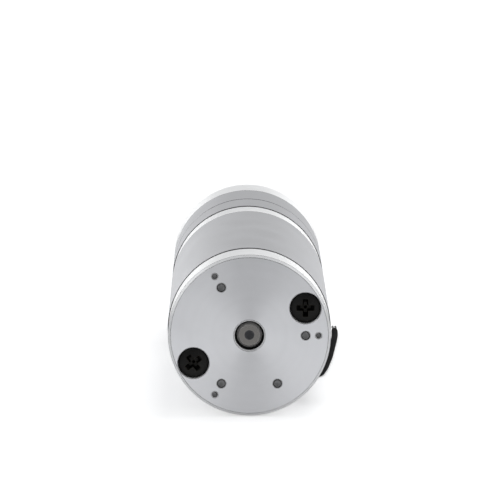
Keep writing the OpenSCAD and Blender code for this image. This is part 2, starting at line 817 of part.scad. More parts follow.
// Brush gear
module brush_card() {
    color(phenolic) laid() translate([0, 0, card_z]) difference() {
        ring(spigot_r - card_gap, commutator_r + card_bore_gap, card_t);
        around(bolt_angles, bolt_circle_r)
            translate([0, 0, -cut]) cylinder(r = bolt_r + holder_gap, h = card_t + 2 * cut);
        around(card_screw_angles, card_screw_circle_r)
            translate([0, 0, -cut])
                cylinder(r = card_screw_r + seat_gap, h = card_t + 2 * cut, $fn = small_fn);
    }
}

module brush_holders() {
    outer_w = brush_w + 2 * brush_play + 2 * holder_wall;
    color(brass) laid() for (a = brush_angles)
        rotate(a) translate([0, 0, brush_z]) difference() {
            translate([holder_in_r, -outer_w / 2, -holder_h / 2])
                cube([holder_out_r - holder_in_r, outer_w, holder_h]);
            translate([0, -brush_w / 2 - brush_play, -brush_t / 2 - brush_play])
                cube([pocket_end_r, brush_w + 2 * brush_play, brush_t + 2 * brush_play]);
        }
}

module brushes() {
    color(ferrite) laid() for (a = brush_angles)
        rotate(a) translate([0, 0, brush_z]) difference() {
            translate([0, -brush_w / 2, -brush_t / 2]) cube([brush_out_r, brush_w, brush_t]);
            translate([0, 0, -brush_t]) cylinder(r = brush_in_r, h = 2 * brush_t);
        }
}

module brush_springs() {
    steps = 12;
    seat = spring_wire_d / 2 + locating_fit;
    travel = pocket_end_r - brush_out_r - 2 * seat;
    count = ceil(spring_turns * steps);
    helix = [for (i = [0:count]) let (a = i * 360 / steps)
        [brush_out_r + seat + travel * i / count, spring_coil_d / 2 * cos(a), spring_coil_d / 2 * sin(a)]];
    color(ground_steel) laid() for (a = brush_angles)
        rotate(a) translate([0, 0, brush_z]) swept_bar(helix, [1, 0, 0], spring_wire_d / 2, 6);
}

module card_screws() {
    color(black_oxide) laid() around(card_screw_angles, card_screw_circle_r) {
        translate([0, 0, card_z - seat_gap])
            cylinder(r = card_screw_r, h = card_screw_len + seat_gap, $fn = small_fn);
        difference() {
            translate([0, 0, card_z - card_screw_head_len])
                cylinder(r = card_screw_head_r, h = card_screw_head_len, $fn = small_fn);
            translate([-card_screw_head_r - cut, -card_screw_slot / 2, card_z - card_screw_head_len - cut])
                cube([2 * card_screw_head_r + 2 * cut, card_screw_slot, card_screw_head_len / 2 + cut]);
        }
    }
}

// Bearings
module rear_bearing_outer() {
    color(ground_steel) laid() translate([0, 0, rear_bearing_z])
        outer_race(shaft_d, motor_bearing_od, motor_bearing_w, motor_ball_d);
}

module rear_bearing_inner() {
    color(ground_steel) laid() translate([0, 0, rear_bearing_z])
        inner_race(shaft_d, motor_bearing_od, motor_bearing_w, motor_ball_d);
}

module rear_bearing_balls() {
    color(satin_steel) laid() translate([0, 0, rear_bearing_z])
        ball_row(shaft_d, motor_bearing_od, motor_bearing_w, motor_ball_d, motor_balls);
}

module rear_bearing_cage() {
    color(brass) laid() translate([0, 0, rear_bearing_z])
        ball_cage(shaft_d, motor_bearing_od, motor_bearing_w, motor_ball_d, motor_balls);
}

module front_bearing_outer() {
    color(ground_steel) laid() translate([0, 0, front_bearing_z])
        outer_race(shaft_d, motor_bearing_od, motor_bearing_w, motor_ball_d);
}

module front_bearing_inner() {
    color(ground_steel) laid() translate([0, 0, front_bearing_z])
        inner_race(shaft_d, motor_bearing_od, motor_bearing_w, motor_ball_d);
}

module front_bearing_balls() {
    color(satin_steel) laid() translate([0, 0, front_bearing_z])
        ball_row(shaft_d, motor_bearing_od, motor_bearing_w, motor_ball_d, motor_balls);
}

module front_bearing_cage() {
    color(brass) laid() translate([0, 0, front_bearing_z])
        ball_cage(shaft_d, motor_bearing_od, motor_bearing_w, motor_ball_d, motor_balls);
}

// Thin dust shields on both faces of the motor bearings
module bearing_shields() {
    pitch_r = bearing_pitch_r(shaft_d, motor_bearing_od);
    step = bearing_shoulder(motor_ball_d);
    color(satin_steel) laid()
        for (z = [front_bearing_z, rear_bearing_z], face = [seat_gap, motor_bearing_w - seat_gap - shield_t])
            translate([0, 0, z + face])
                ring(pitch_r + step - press_fit, pitch_r - step + seat_gap, shield_t);
}

module wave_washer() {
    steps = 48;
    band = 3.3;
    r_out = motor_bearing_od / 2 - card_gap;
    r_in = r_out - band;
    swing = (wave_space - wave_t) / 2 - locating_fit;
    middle = rear_bearing_end_z + wave_space / 2;
    corners = [[r_in, -wave_t / 2], [r_out, -wave_t / 2], [r_out, wave_t / 2], [r_in, wave_t / 2]];
    points = [for (i = [0:steps - 1], c = corners)
        let (a = i * 360 / steps)
        [c[0] * cos(a), c[0] * sin(a), middle + swing * cos(waves * a) + c[1]]];
    faces = [for (i = [0:steps - 1], k = [0:3], half = [0, 1])
        let (a = 4 * i + k, b = 4 * i + (k + 1) % 4,
             c = (4 * (i + 1) + (k + 1) % 4) % (4 * steps), d = (4 * (i + 1) + k) % (4 * steps))
        half == 0 ? [a, b, c] : [a, c, d]];
    color(ground_steel) laid() polyhedron(points = points, faces = faces);
}

module output_bearing_pair() {
    for (i = [0, 1])
        translate([0, 0, output_bearing_z + i * (output_bearing_w + pair_gap)]) children();
}

module output_bearing_outers() {
    color(ground_steel) laid() output_bearing_pair()
        outer_race(journal_d, output_bearing_od, output_bearing_w, output_ball_d);
}

module output_bearing_inners() {
    color(ground_steel) laid() output_bearing_pair()
        inner_race(journal_d, output_bearing_od, output_bearing_w, output_ball_d);
}

module output_bearing_balls() {
    color(satin_steel) laid() output_bearing_pair()
        ball_row(journal_d, output_bearing_od, output_bearing_w, output_ball_d, output_balls);
}

module output_bearing_cages() {
    color(brass) laid() output_bearing_pair()
        ball_cage(journal_d, output_bearing_od, output_bearing_w, output_ball_d, output_balls);
}

module shaft_seal() {
    lip = journal_r + running_fit;
    web = lip + 1.4;
    mouth = lip + 0.6;
    outer = seal_d / 2 - press_fit;
    waist = seal_len / 3;
    color(rubber) laid() rotate_extrude()
        polygon([[mouth, -seal_len], [outer, -seal_len], [outer, 0], [web, 0], [web, -waist],
                 [lip, -1.2 * waist], [lip, -1.9 * waist]]);
}

// Circlips, open by a gap at the top
module bearing_circlip() {
    out_r = output_bearing_od / 2 + circlip_groove - seat_gap;
    eye_r = 1.5;
    eye_hole_r = 0.6;
    eye_circle_r = output_bearing_od / 2 - 2;
    eye_angles = [76, 104];
    color(ground_steel) laid() translate([0, 0, output_bearing_end_z]) difference() {
        union() {
            ring(out_r, output_bearing_od / 2 - circlip_wall, circlip_t);
            around(eye_angles, eye_circle_r) cylinder(r = eye_r, h = circlip_t, $fn = small_fn);
        }
        translate([-circlip_open, 0, -cut]) cube([2 * circlip_open, out_r + cut, circlip_t + 2 * cut]);
        around(eye_angles, eye_circle_r)
            translate([0, 0, -cut]) cylinder(r = eye_hole_r, h = circlip_t + 2 * cut, $fn = small_fn);
    }
}

module shaft_circlip() {
    color(ground_steel) laid() translate([0, 0, output_bearing_z - circlip_t]) difference() {
        ring(journal_r + circlip_wall, journal_r - groove_depth + press_fit, circlip_t);
        translate([-circlip_open, 0, -cut])
            cube([2 * circlip_open, journal_r + circlip_wall + cut, circlip_t + 2 * cut]);
    }
}

// Planetary gears
module sun_gear_1() {
    color(ground_steel) laid() translate([0, 0, sun_1_z + edge_break])
        rotate(planet_angles[0])
            spur_gear(sun_teeth, sun_1_end_z - sun_1_z - edge_break, shaft_nose_d / 2 + press_fit);
}

module sun_gear_2() {
    color(ground_steel) laid() {
        translate([0, 0, sun_2_z]) rotate(planet_angles[0])
            spur_gear(sun_teeth, carrier_1_z - sun_2_z, sun_bore_r);
        translate([0, 0, carrier_1_z - 0.01]) ring(sun_seat_r, sun_bore_r, carrier_t + 0.01);
    }
}

module planet_gear(z, index) {
    color(satin_steel) laid() rotate(planet_angles[index]) translate([centre_distance, 0, z])
        rotate(180 + 180 / planet_teeth) spur_gear(planet_teeth, gear_w, pin_r + running_fit);
}

module planet_1a() {
    planet_gear(planet_1_z, 0);
}

module planet_1b() {
    planet_gear(planet_1_z, 1);
}

module planet_1c() {
    planet_gear(planet_1_z, 2);
}

module planet_2a() {
    planet_gear(planet_2_z, 0);
}

module planet_2b() {
    planet_gear(planet_2_z, 1);
}

module planet_2c() {
    planet_gear(planet_2_z, 2);
}

module planet_pins(z, top) {
    color(ground_steel) laid() around(planet_angles, centre_distance)
        translate([0, 0, z + pin_inset]) cylinder(r = pin_r, h = top - z - pin_inset, $fn = small_fn);
}

module planet_pins_1() {
    planet_pins(carrier_1_z, retainer_1_z + retainer_t + pin_tail);
}

module planet_pins_2() {
    planet_pins(carrier_2_z, retainer_2_z + retainer_t + pin_tail);
}

module planet_washers(z) {
    color(brass) laid() around(planet_angles, centre_distance)
        translate([0, 0, z]) ring(planet_r - dedendum, pin_r + press_fit, washer_t);
}

module planet_washers_1() {
    planet_washers(carrier_1_z + carrier_t);
}

module planet_washers_2() {
    planet_washers(carrier_2_z + carrier_t);
}

module planet_retainer(z) {
    color(satin_steel) laid() translate([0, 0, z]) difference() {
        ring(carrier_r, sun_tip_r + tip_gap, retainer_t);
        around(planet_angles, centre_distance)
            translate([0, 0, -cut])
                cylinder(r = pin_r + press_fit, h = retainer_t + 2 * cut, $fn = small_fn);
    }
}

module planet_retainer_1() {
    planet_retainer(retainer_1_z);
}

module planet_retainer_2() {
    planet_retainer(retainer_2_z);
}

module pin_holes(z) {
    around(planet_angles, centre_distance)
        translate([0, 0, z + pin_inset])
            cylinder(r = pin_r + press_fit, h = carrier_t + cut, $fn = small_fn);
}

module carrier_1() {
    color(satin_steel) laid() difference() {
        translate([0, 0, carrier_1_z]) drum(carrier_r, carrier_t, edge_break, edge_break);
        translate([0, 0, carrier_1_z - cut]) cylinder(r = sun_seat_r + press_fit, h = carrier_t + 2 * cut);
        pin_holes(carrier_1_z);
    }
}

// The output shaft and the second carrier are one turned piece
module output_carrier() {
    shaft_z = -pilot_len - output_len;
    tip = 0.8;
    color(ground_steel) laid() difference() {
        union() {
            rotate_extrude()
                polygon([[0, shaft_z], [output_r - tip, shaft_z], [output_r, shaft_z + tip],
                         [output_r, -pilot_len], [journal_r, -pilot_len],
                         [journal_r, output_bearing_end_z], [shoulder_r, output_bearing_end_z],
                         [shoulder_r, carrier_2_z], [0, carrier_2_z]]);
            translate([0, 0, carrier_2_z - 0.01]) drum(carrier_r, carrier_t + 0.01, edge_break, edge_break);
        }
        translate([0, 0, output_bearing_z - circlip_t])
            ring(journal_r + 1, journal_r - groove_depth, circlip_t);
        translate([-output_r, output_r - flat_depth, shaft_z - cut])
            cube([output_d, output_r, flat_len + cut]);
        translate([0, 0, shaft_z]) centre_hole(centre_drill_r);
        pin_holes(carrier_2_z);
    }
}

// Lead
module lead_grommet() {
    mouth_z = grommet_z - grommet_mouth;
    neck_z = tube_in_r - grommet_lip_t;
    color(rubber) laid() rotate(grommet_angle) {
        difference() {
            union() {
                translate([grommet_axis_r, 0, mouth_z])
                    cylinder(r = grommet_r, h = grommet_mouth, $fn = 48);
                translate([grommet_axis_r, 0, grommet_z]) sphere(r = grommet_r, $fn = 48);
                translate([tube_in_r, 0, grommet_z]) rotate([0, 90, 0])
                    cylinder(r = grommet_flange_r, h = tube_wall + grommet_flange_t, $fn = 48);
            }
            cylinder(r = body_r, h = rear_z);
        }
        translate([neck_z, 0, grommet_z]) rotate([0, 90, 0])
            cylinder(r = grommet_neck_r, h = grommet_axis_r - tube_in_r, $fn = 48);
        difference() {
            translate([neck_z - card_gap, 0, grommet_z]) rotate([0, 90, 0])
                cylinder(r = grommet_neck_r + grommet_lip_t, h = grommet_lip_t, $fn = 48);
            ring(body_r + cut, tube_in_r - locating_fit, rear_z);
        }
    }
}

module lead_cable() {
    color("black") swept_bar(lead_route, [0, 0, 1], lead_d / 2, lead_sides);
}

module lead_tips() {
    end = lead_route[len(lead_route) - 1];
    color("LightGray") for (s = [-1, 1])
        translate([end[0] + s * tip_spread, end[1], end[2]])
            rotate([-90, 0, 0]) cylinder(d = tip_d, h = tip_len, $fn = 16);
}

// Wires from the grommet to the two brush holders, the longer one round inside a bolt
function polar(r, angle, z) = [r * cos(angle), r * sin(angle), z];

module brush_leads() {
    wire_r = wire_d / 2;
    start_r = tube_in_r - grommet_lip_t - card_gap - wire_r;
    holder_z = brush_z - holder_h / 2 - wire_r;
    bolt_pass_r = bolt_circle_r - bolt_r - 2 * wire_r;
    near = brush_angles[1] - 360;
    far = brush_angles[0];
    short_wire = [
        polar(start_r, grommet_angle - 2, grommet_z - wire_r),
        polar(start_r - 1, grommet_angle - 3, grommet_z - wire_r),
        polar(start_r - 3, near + 8, holder_z),
        polar(start_r - 5, near + 3, holder_z),
        polar(start_r - 7, near, holder_z)
    ];
    long_wire = concat(
        [polar(start_r, grommet_angle + 3, grommet_z - wire_r),
         polar(start_r - 1.5, grommet_angle + 8, grommet_z - wire_r),
         polar(start_r - 3.5, grommet_angle + 20, holder_z)],
        [for (i = [0:8])
            let (t = i / 8)
            polar(bolt_pass_r, grommet_angle + 36 + (far - grommet_angle - 46) * t, holder_z)],
        [polar(bolt_pass_r - 1, far - 4, holder_z), polar(bolt_pass_r - 2, far + 2, holder_z)]);
    color("firebrick") laid() {
        swept_bar(short_wire, [0, 0, 1], wire_r, wire_sides);
        swept_bar(long_wire, [0, 0, 1], wire_r, wire_sides);
    }
}

rear_cap();
motor_tube();
front_cap();
ring_gear_1();
ring_gear_2();
output_flange();
through_bolts();
gearbox_screws();
magnets();
brush_card();
brush_holders();
brushes();
brush_springs();
card_screws();
rear_bearing_outer();
rear_bearing_inner();
rear_bearing_balls();
rear_bearing_cage();
front_bearing_outer();
front_bearing_inner();
front_bearing_balls();
front_bearing_cage();
bearing_shields();
wave_washer();
motor_shaft();
armature_core();
armature_windings();
commutator_hub();
commutator_bars();
sun_gear_1();
planet_1a();
planet_1b();
planet_1c();
carrier_1();
planet_pins_1();
planet_washers_1();
planet_retainer_1();
sun_gear_2();
planet_2a();
planet_2b();
planet_2c();
output_carrier();
planet_pins_2();
planet_washers_2();
planet_retainer_2();
output_bearing_outers();
output_bearing_inners();
output_bearing_balls();
output_bearing_cages();
shaft_seal();
bearing_circlip();
shaft_circlip();
lead_grommet();
lead_cable();
lead_tips();
brush_leads();
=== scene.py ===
"""Looks of a round DC gear motor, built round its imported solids.

The motor lies on its side with its rear face towards the camera. Lengths are in metres, +Y runs along
the output shaft, +Z is up, and the ground is at Z = -26 mm. Colours are linear.
"""
import json
import logging
import math
from collections.abc import Callable
from dataclasses import dataclass
from enum import Enum

import bmesh
import bpy
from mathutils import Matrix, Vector


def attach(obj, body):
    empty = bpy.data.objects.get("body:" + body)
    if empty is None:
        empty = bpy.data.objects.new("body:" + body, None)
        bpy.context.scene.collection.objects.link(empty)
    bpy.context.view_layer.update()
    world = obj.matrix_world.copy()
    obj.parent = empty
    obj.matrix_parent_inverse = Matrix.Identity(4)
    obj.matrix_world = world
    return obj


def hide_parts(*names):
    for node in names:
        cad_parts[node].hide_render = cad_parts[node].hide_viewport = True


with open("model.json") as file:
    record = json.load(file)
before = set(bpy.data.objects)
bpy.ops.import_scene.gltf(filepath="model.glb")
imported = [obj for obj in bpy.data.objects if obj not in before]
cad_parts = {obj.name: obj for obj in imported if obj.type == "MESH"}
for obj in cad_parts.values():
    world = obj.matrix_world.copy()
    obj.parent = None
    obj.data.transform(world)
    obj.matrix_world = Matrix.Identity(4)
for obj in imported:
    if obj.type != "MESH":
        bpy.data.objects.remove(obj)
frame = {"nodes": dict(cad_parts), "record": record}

LOG = logging.getLogger("gear_motor")
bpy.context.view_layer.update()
MM = 0.001
# Places closer than TOUCH are in line, and points closer than SAME_POINT are merged.
TOUCH = 1e-7
SAME_POINT = 0.0005 * MM
# A face looks along an axis where its normal points further along it than this.
FACING = 0.9
REAR_Y = -165.5 * MM
BODY_R = 26.0 * MM
WHITE = (1.0, 1.0, 1.0)

Colour = tuple[float, float, float]
Point = tuple[float, float, float]
Range = tuple[float, float]
Piece = bpy.types.Object
Tree = bpy.types.NodeTree
Socket = bpy.types.NodeSocket
Sockets = bpy.types.bpy_prop_collection
Value = Socket | Colour | float


def on_circle(radius: float, angle: float) -> Point:
    """Gives the point at an angle in degrees on a circle round the motor axis."""
    return (radius * math.cos(math.radians(angle)), 0.0, radius * math.sin(math.radians(angle)))


class Marks(Enum):
    """How a surface was made, which sets the small marks on it."""

    TURNED = "turning_marks"
    DRAWN = "drawn_lines"
    GRAINED = "fine_grain"


@dataclass(frozen=True)
class Finish:
    """One finish of the motor, as a maker would order it.

    Args:
        colour: Main colour.
        metallic: 1 for bare metal, 0 for rubber, plastic and varnish.
        roughness: Middle roughness.
        marks: What kind of marks the surface has.
        pitch: Distance between two marks.
        depth: How deep the marks are.
        tone: How much lighter and darker the marks make the colour.
        polish: How much the marks change the roughness.
        wear_and_shade_colour: Colour of the edges, or None where they keep the main colour; lighter for real
            wear, dark where it paints shade along edge lines and joints.
        wear_and_shade: How much of the edges gets that colour, from 0 to 1.
        dust: How much dust and handling dulls it, from 0 to 1.
        coat: Weight of a clear coat or varnish.
        specular: Specular level of the shader.
        end_colour: Colour of faces square to the motor axis, or None where they are like the rest; near-black
            on the satin tube and rings, where it paints the shade in the joints.
        end_metallic: How metallic those faces are, where they have their own colour.
        end_roughness: Their roughness, where they have their own colour.
        bevel_colour: Colour of faces that slope at about 45 degrees, or None where they are like the rest.
        stretch: How far the lathe's fine grooves stretch a highlight, from 0 to 1.
    """

    colour: Colour
    metallic: float
    roughness: float
    marks: Marks
    pitch: float
    depth: float
    tone: float = 0.06
    polish: float = 0.08
    wear_and_shade_colour: Colour | None = None
    wear_and_shade: float = 0.0
    dust: float = 0.1
    coat: float = 0.0
    specular: float = 0.5
    end_colour: Colour | None = None
    end_metallic: float | None = None
    end_roughness: float | None = None
    bevel_colour: Colour | None = None
    stretch: float = 0.0


FINISHES: dict[str, Finish] = {
    # The dark edge colour paints shade along the edge of the face, the joints and the rims of the holes.
    "turned_aluminium": Finish(
        (0.97, 0.972, 0.975), 0.12, 0.5, Marks.TURNED, 0.16 * MM, 0.008 * MM, 0.035, 0.03,
        (0.1, 0.1, 0.102), 0.95, 0.08, end_colour=(0.625, 0.63, 0.65), end_metallic=1.0,
        end_roughness=0.4, bevel_colour=(0.8, 0.803, 0.81), stretch=0.85),
    # Near-black walls and threads paint the shade inside the tapped holes; the end colour is the lighter
    # floor of each hole.
    "tapped_aluminium": Finish(
        (0.015, 0.015, 0.016), 0.2, 0.6, Marks.GRAINED, 0.1 * MM, 0.01 * MM, 0.15, 0.05,
        end_colour=(0.62, 0.62, 0.63)),
    # The near-black end colour paints the shade in the joints of the tube, and the dark edge colour paints
    # shade along its joint lines.
    "satin_tube": Finish(
        (0.385, 0.389, 0.403), 1.0, 0.48, Marks.TURNED, 0.3 * MM, 0.012 * MM, 0.03, 0.03,
        (0.05, 0.05, 0.052), 0.9, 0.08, end_colour=(0.03, 0.03, 0.032)),
    # The near-black end colour paints the shade in the joints of the gear rings, and the dark edge colour
    # paints shade along their joint lines.
    "satin_ring": Finish(
        (0.362, 0.366, 0.38), 1.0, 0.48, Marks.TURNED, 0.2 * MM, 0.01 * MM, 0.03, 0.03,
        (0.05, 0.05, 0.052), 0.9, 0.08, end_colour=(0.03, 0.03, 0.032)),
    "black_oxide": Finish(
        (0.018, 0.0178, 0.0176), 1.0, 0.5, Marks.GRAINED, 0.12 * MM, 0.006 * MM, 0.2, 0.06,
        (0.03, 0.027, 0.022), 0.15, 0.01),
    "ferrite": Finish((0.045, 0.045, 0.05), 0.0, 0.7, Marks.GRAINED, 0.3 * MM, 0.02 * MM, 0.15),
    "phenolic": Finish(
        (0.16, 0.07, 0.025), 0.0, 0.45, Marks.GRAINED, 0.25 * MM, 0.008 * MM, 0.2, coat=0.2),
    "brass": Finish((0.72, 0.5, 0.2), 1.0, 0.35, Marks.GRAINED, 0.2 * MM, 0.004 * MM, 0.06),
    "carbon": Finish((0.02, 0.02, 0.022), 0.0, 0.6, Marks.DRAWN, 0.2 * MM, 0.01 * MM, 0.2),
    "spring_steel": Finish((0.42, 0.42, 0.44), 1.0, 0.28, Marks.GRAINED, 0.1 * MM, 0.002 * MM, 0.08),
    "bearing_steel": Finish(
        (0.66, 0.67, 0.7), 1.0, 0.12, Marks.TURNED, 0.08 * MM, 0.0008 * MM, 0.02, 0.03, dust=0.04),
    "cage_brass": Finish((0.7, 0.47, 0.18), 1.0, 0.3, Marks.GRAINED, 0.15 * MM, 0.003 * MM, 0.05),
    "shield_steel": Finish((0.5, 0.5, 0.52), 1.0, 0.25, Marks.TURNED, 0.12 * MM, 0.002 * MM, 0.04),
    "ground_steel": Finish(
        (0.34, 0.33, 0.318), 0.5, 0.3, Marks.TURNED, 0.09 * MM, 0.003 * MM, 0.08, 0.08,
        (0.5, 0.5, 0.5), 0.06, 0.03, end_colour=(0.17, 0.163, 0.156), end_metallic=1.0,
        end_roughness=0.3, bevel_colour=(0.6, 0.585, 0.57)),
    "lamination_steel": Finish(
        (0.16, 0.16, 0.17), 1.0, 0.4, Marks.TURNED, 0.5 * MM, 0.03 * MM, 0.12, coat=0.3),
    "copper": Finish((0.6, 0.19, 0.07), 1.0, 0.28, Marks.DRAWN, 0.5 * MM, 0.04 * MM, 0.1, coat=0.5),
    "sintered_steel": Finish(
        (0.25, 0.25, 0.26), 1.0, 0.42, Marks.GRAINED, 0.12 * MM, 0.01 * MM, 0.12, 0.08, (0.5, 0.5, 0.5),
        0.2),
    "rubber": Finish((0.02, 0.02, 0.021), 0.0, 0.6, Marks.GRAINED, 0.25 * MM, 0.01 * MM, 0.15),
    "lead_sleeve": Finish(
        (0.007, 0.007, 0.0074), 0.0, 0.7, Marks.GRAINED, 0.3 * MM, 0.008 * MM, 0.15, specular=0.01),
    "tinned_copper": Finish((0.13, 0.13, 0.127), 1.0, 0.4, Marks.DRAWN, 0.15 * MM, 0.004 * MM, 0.08),
    "felt": Finish(
        (0.005, 0.005, 0.005), 0.0, 0.9, Marks.GRAINED, 0.08 * MM, 0.01 * MM, 0.3, specular=0.1),
    "wire_sleeve": Finish(
        (0.3, 0.015, 0.012), 0.0, 0.4, Marks.GRAINED, 0.3 * MM, 0.004 * MM, 0.08, coat=0.2),
}


class Net:
    """A shader node tree, with short ways to add to it."""

    def __init__(self, tree: Tree) -> None:
        """Keeps the tree."""
        self.tree = tree

    def feed(self, slot: Socket, value: Value) -> None:
        """Links a socket to an input, or gives the input a constant.

        Args:
            slot: The input.
            value: A socket, a number or a colour.
        """
        if isinstance(value, Socket):
            self.tree.links.new(value, slot)
        else:
            slot.default_value = (*value, 1.0) if slot.type == "RGBA" else value

    def add(self, kind: str, inputs: dict[str | int, Value] | None = None,
            **settings: object) -> bpy.types.Node:
        """Adds a node.

        Args:
            kind: Its type.
            inputs: What its inputs get, by name or number.
            settings: Its own settings, by name.

        Returns:
            The node.
        """
        node = self.tree.nodes.new(kind)
        for name, setting in settings.items():
            setattr(node, name, setting)
        for slot, value in (inputs or {}).items():
            self.feed(node.inputs[slot], value)
        return node

    def calc(self, operation: str, *values: Value) -> Socket:
        """Adds a Math node."""
        return self.add("ShaderNodeMath", dict(enumerate(values)), operation=operation).outputs[0]

    def length(self, vector: Socket) -> Socket:
        """Measures a vector."""
        return self.add("ShaderNodeVectorMath", {0: vector}, operation="LENGTH").outputs["Value"]

    def split(self, vector: Socket) -> Sockets:
        """Splits a vector into X, Y and Z."""
        return self.add("ShaderNodeSeparateXYZ", {0: vector}).outputs

    def rays(self) -> Sockets:
        """Says by which kind of ray the surface is seen, an output for each kind."""
        return self.add("ShaderNodeLightPath").outputs

    def mix(self, factor: Socket, first: Value, second: Value) -> Socket:
        """Mixes two colours, all of the second where the factor is 1."""
        inputs = {"Factor": factor, 6: first, 7: second}
        return self.add("ShaderNodeMix", inputs, data_type="RGBA").outputs[2]

    def noise(self, place: Socket, scale: float, detail: float, line: bool = False) -> Socket:
        """Adds a noise, most of it from 0.3 to 0.7, read at a point or at a number along a line."""
        inputs = {"Scale": scale, "Detail": detail, "W" if line else "Vector": place}
        return self.add("ShaderNodeTexNoise", inputs, noise_dimensions="1D" if line else "3D").outputs["Fac"]

    def ramp(self, value: Socket, limits: Range, to: Range = (0.0, 1.0), smooth: bool = False) -> Socket:
        """Maps a value from its limits to another range and holds it there, softly if smooth."""
        inputs = {"Value": value, "From Min": limits[0], "From Max": limits[1], "To Min": to[0],
                  "To Max": to[1]}
        return self.add("ShaderNodeMapRange", inputs,
                        interpolation_type="SMOOTHSTEP" if smooth else "LINEAR").outputs["Result"]


class EffectGroups:
    """The node groups that the materials share, each built once."""

    broad_scale: float = 0.07
    ring_share: float = 0.2
    ring_patches: float = 90.0
    line_stretch: Point = (1.0, 0.02, 1.0)
    line_patches: float = 70.0
    grain_patches: float = 120.0
    edge_radius: float = 0.4 * MM
    edge_gain: float = 30.0
    rub_scale: float = 900.0
    smear_scale: float = 60.0
    smear_range: Range = (0.5, 0.72)
    speck_scale: float = 1400.0
    speck_range: Range = (0.68, 0.74)

    def __init__(self) -> None:
        """Makes every group."""
        self.groups: dict[str, Tree] = {
            Marks.TURNED.value: self.turning_marks(),
            Marks.DRAWN.value: self.even_marks(Marks.DRAWN, self.line_stretch, 2.0, self.line_patches),
            Marks.GRAINED.value: self.even_marks(Marks.GRAINED, WHITE, 3.0, self.grain_patches),
            "edge_wear_and_shade": self.edge_wear_and_shade(),
            "handling_dust": self.handling_dust(),
        }

    @staticmethod
    def start_group(name: str, setting: str,
                    outputs: tuple[str, ...]) -> tuple[Net, Socket, Socket, list[Socket]]:
        """Starts a node group that reads a place and one number.

        Args:
            name: Name of the group.
            setting: Name of the number.
            outputs: Names of the float outputs.

        Returns:
            The net, the place, the number and the sockets that take the outputs.
        """
        tree = bpy.data.node_groups.new(name, "ShaderNodeTree")
        tree.interface.new_socket("Vector", in_out="INPUT", socket_type="NodeSocketVector")
        tree.interface.new_socket(setting, in_out="INPUT", socket_type="NodeSocketFloat")
        for label in outputs:
            tree.interface.new_socket(label, in_out="OUTPUT", socket_type="NodeSocketFloat")
        start, end = tree.nodes.new("NodeGroupInput").outputs, tree.nodes.new("NodeGroupOutput").inputs
        return Net(tree), start["Vector"], start[setting], [end[label] for label in outputs]

    def turning_marks(self) -> Tree:
        """Rings on a face and grooves round a turned outside, centred on the motor axis.

        Returns:
            The group.
        """
        net, place, pitch, outputs = self.start_group(Marks.TURNED.value, "Pitch", ("Height", "Shade"))
        parts = net.split(place)
        flat = net.add("ShaderNodeCombineXYZ", {"X": parts["X"], "Z": parts["Z"]}).outputs[0]
        turns = net.calc("DIVIDE", net.calc("ADD", net.length(flat), parts["Y"]), pitch)
        rings = net.calc("MULTIPLY", net.noise(turns, self.broad_scale, 1.0, True), self.ring_share)
        patches = net.calc("MULTIPLY", net.noise(place, self.ring_patches, 2.0), 1.0 - self.ring_share)
        net.feed(outputs[0], net.noise(turns, 1.0, 2.0, True))
        net.feed(outputs[1], net.calc("ADD", rings, patches))
        return net.tree

    def even_marks(self, marks: Marks, stretch: Point, detail: float, patches: float) -> Tree:
        """Marks alike all over: a grain, or fine lines along the motor.

        Args:
            marks: Which marks.
            stretch: How much of each axis counts, less along the lines.
            detail: Octaves of the marks.
            patches: Scale of the patches in their shade.

        Returns:
            The group.
        """
        net, place, pitch, outputs = self.start_group(marks.value, "Pitch", ("Height", "Shade"))
        stretched = net.add("ShaderNodeVectorMath", {0: place, 1: stretch}, operation="MULTIPLY").outputs[0]
        scaled = net.add("ShaderNodeVectorMath", {0: stretched, "Scale": net.calc("DIVIDE", 1.0, pitch)},
                         operation="SCALE").outputs[0]
        lines = net.noise(scaled, 1.0, detail)
        both = net.calc("ADD", lines, net.noise(place, patches, 2.0))
        net.feed(outputs[0], lines)
        net.feed(outputs[1], net.calc("MULTIPLY", both, 0.5))
        return net.tree

    def edge_wear_and_shade(self) -> Tree:
        """A mask of the edges, broken up by noise, for rubbed wear and, with a dark colour, for painted shade
        along edge lines and joints.

        Returns:
            The group.
        """
        net, place, amount, (mask,) = self.start_group("edge_wear_and_shade", "Amount", ("Mask",))
        rounded = net.add("ShaderNodeBevel", {"Radius": self.edge_radius}, samples=4).outputs["Normal"]
        normal = net.add("ShaderNodeNewGeometry").outputs["Normal"]
        alike = net.add("ShaderNodeVectorMath", {0: rounded, 1: normal}, operation="DOT_PRODUCT")
        edge = net.calc("MULTIPLY", net.calc("SUBTRACT", 1.0, alike.outputs["Value"]), self.edge_gain)
        broken = net.calc("MULTIPLY", net.noise(place, self.rub_scale, 3.0), 2.0)
        rubbed = net.calc("MULTIPLY", net.calc("MULTIPLY", edge, broken), amount)
        net.feed(mask, net.calc("MINIMUM", rubbed, 1.0))
        return net.tree

    def handling_dust(self) -> Tree:
        """Faint smears and specks of dust.

        Returns:
            The group.
        """
        net, place, amount, (mask,) = self.start_group("handling_dust", "Amount", ("Mask",))
        smears = net.ramp(net.noise(place, self.smear_scale, 4.0), self.smear_range)
        specks = net.ramp(net.noise(place, self.speck_scale, 2.0), self.speck_range)
        dust = net.calc("MULTIPLY", net.calc("ADD", smears, specks), amount)
        net.feed(mask, net.calc("MINIMUM", dust, 1.0))
        return net.tree


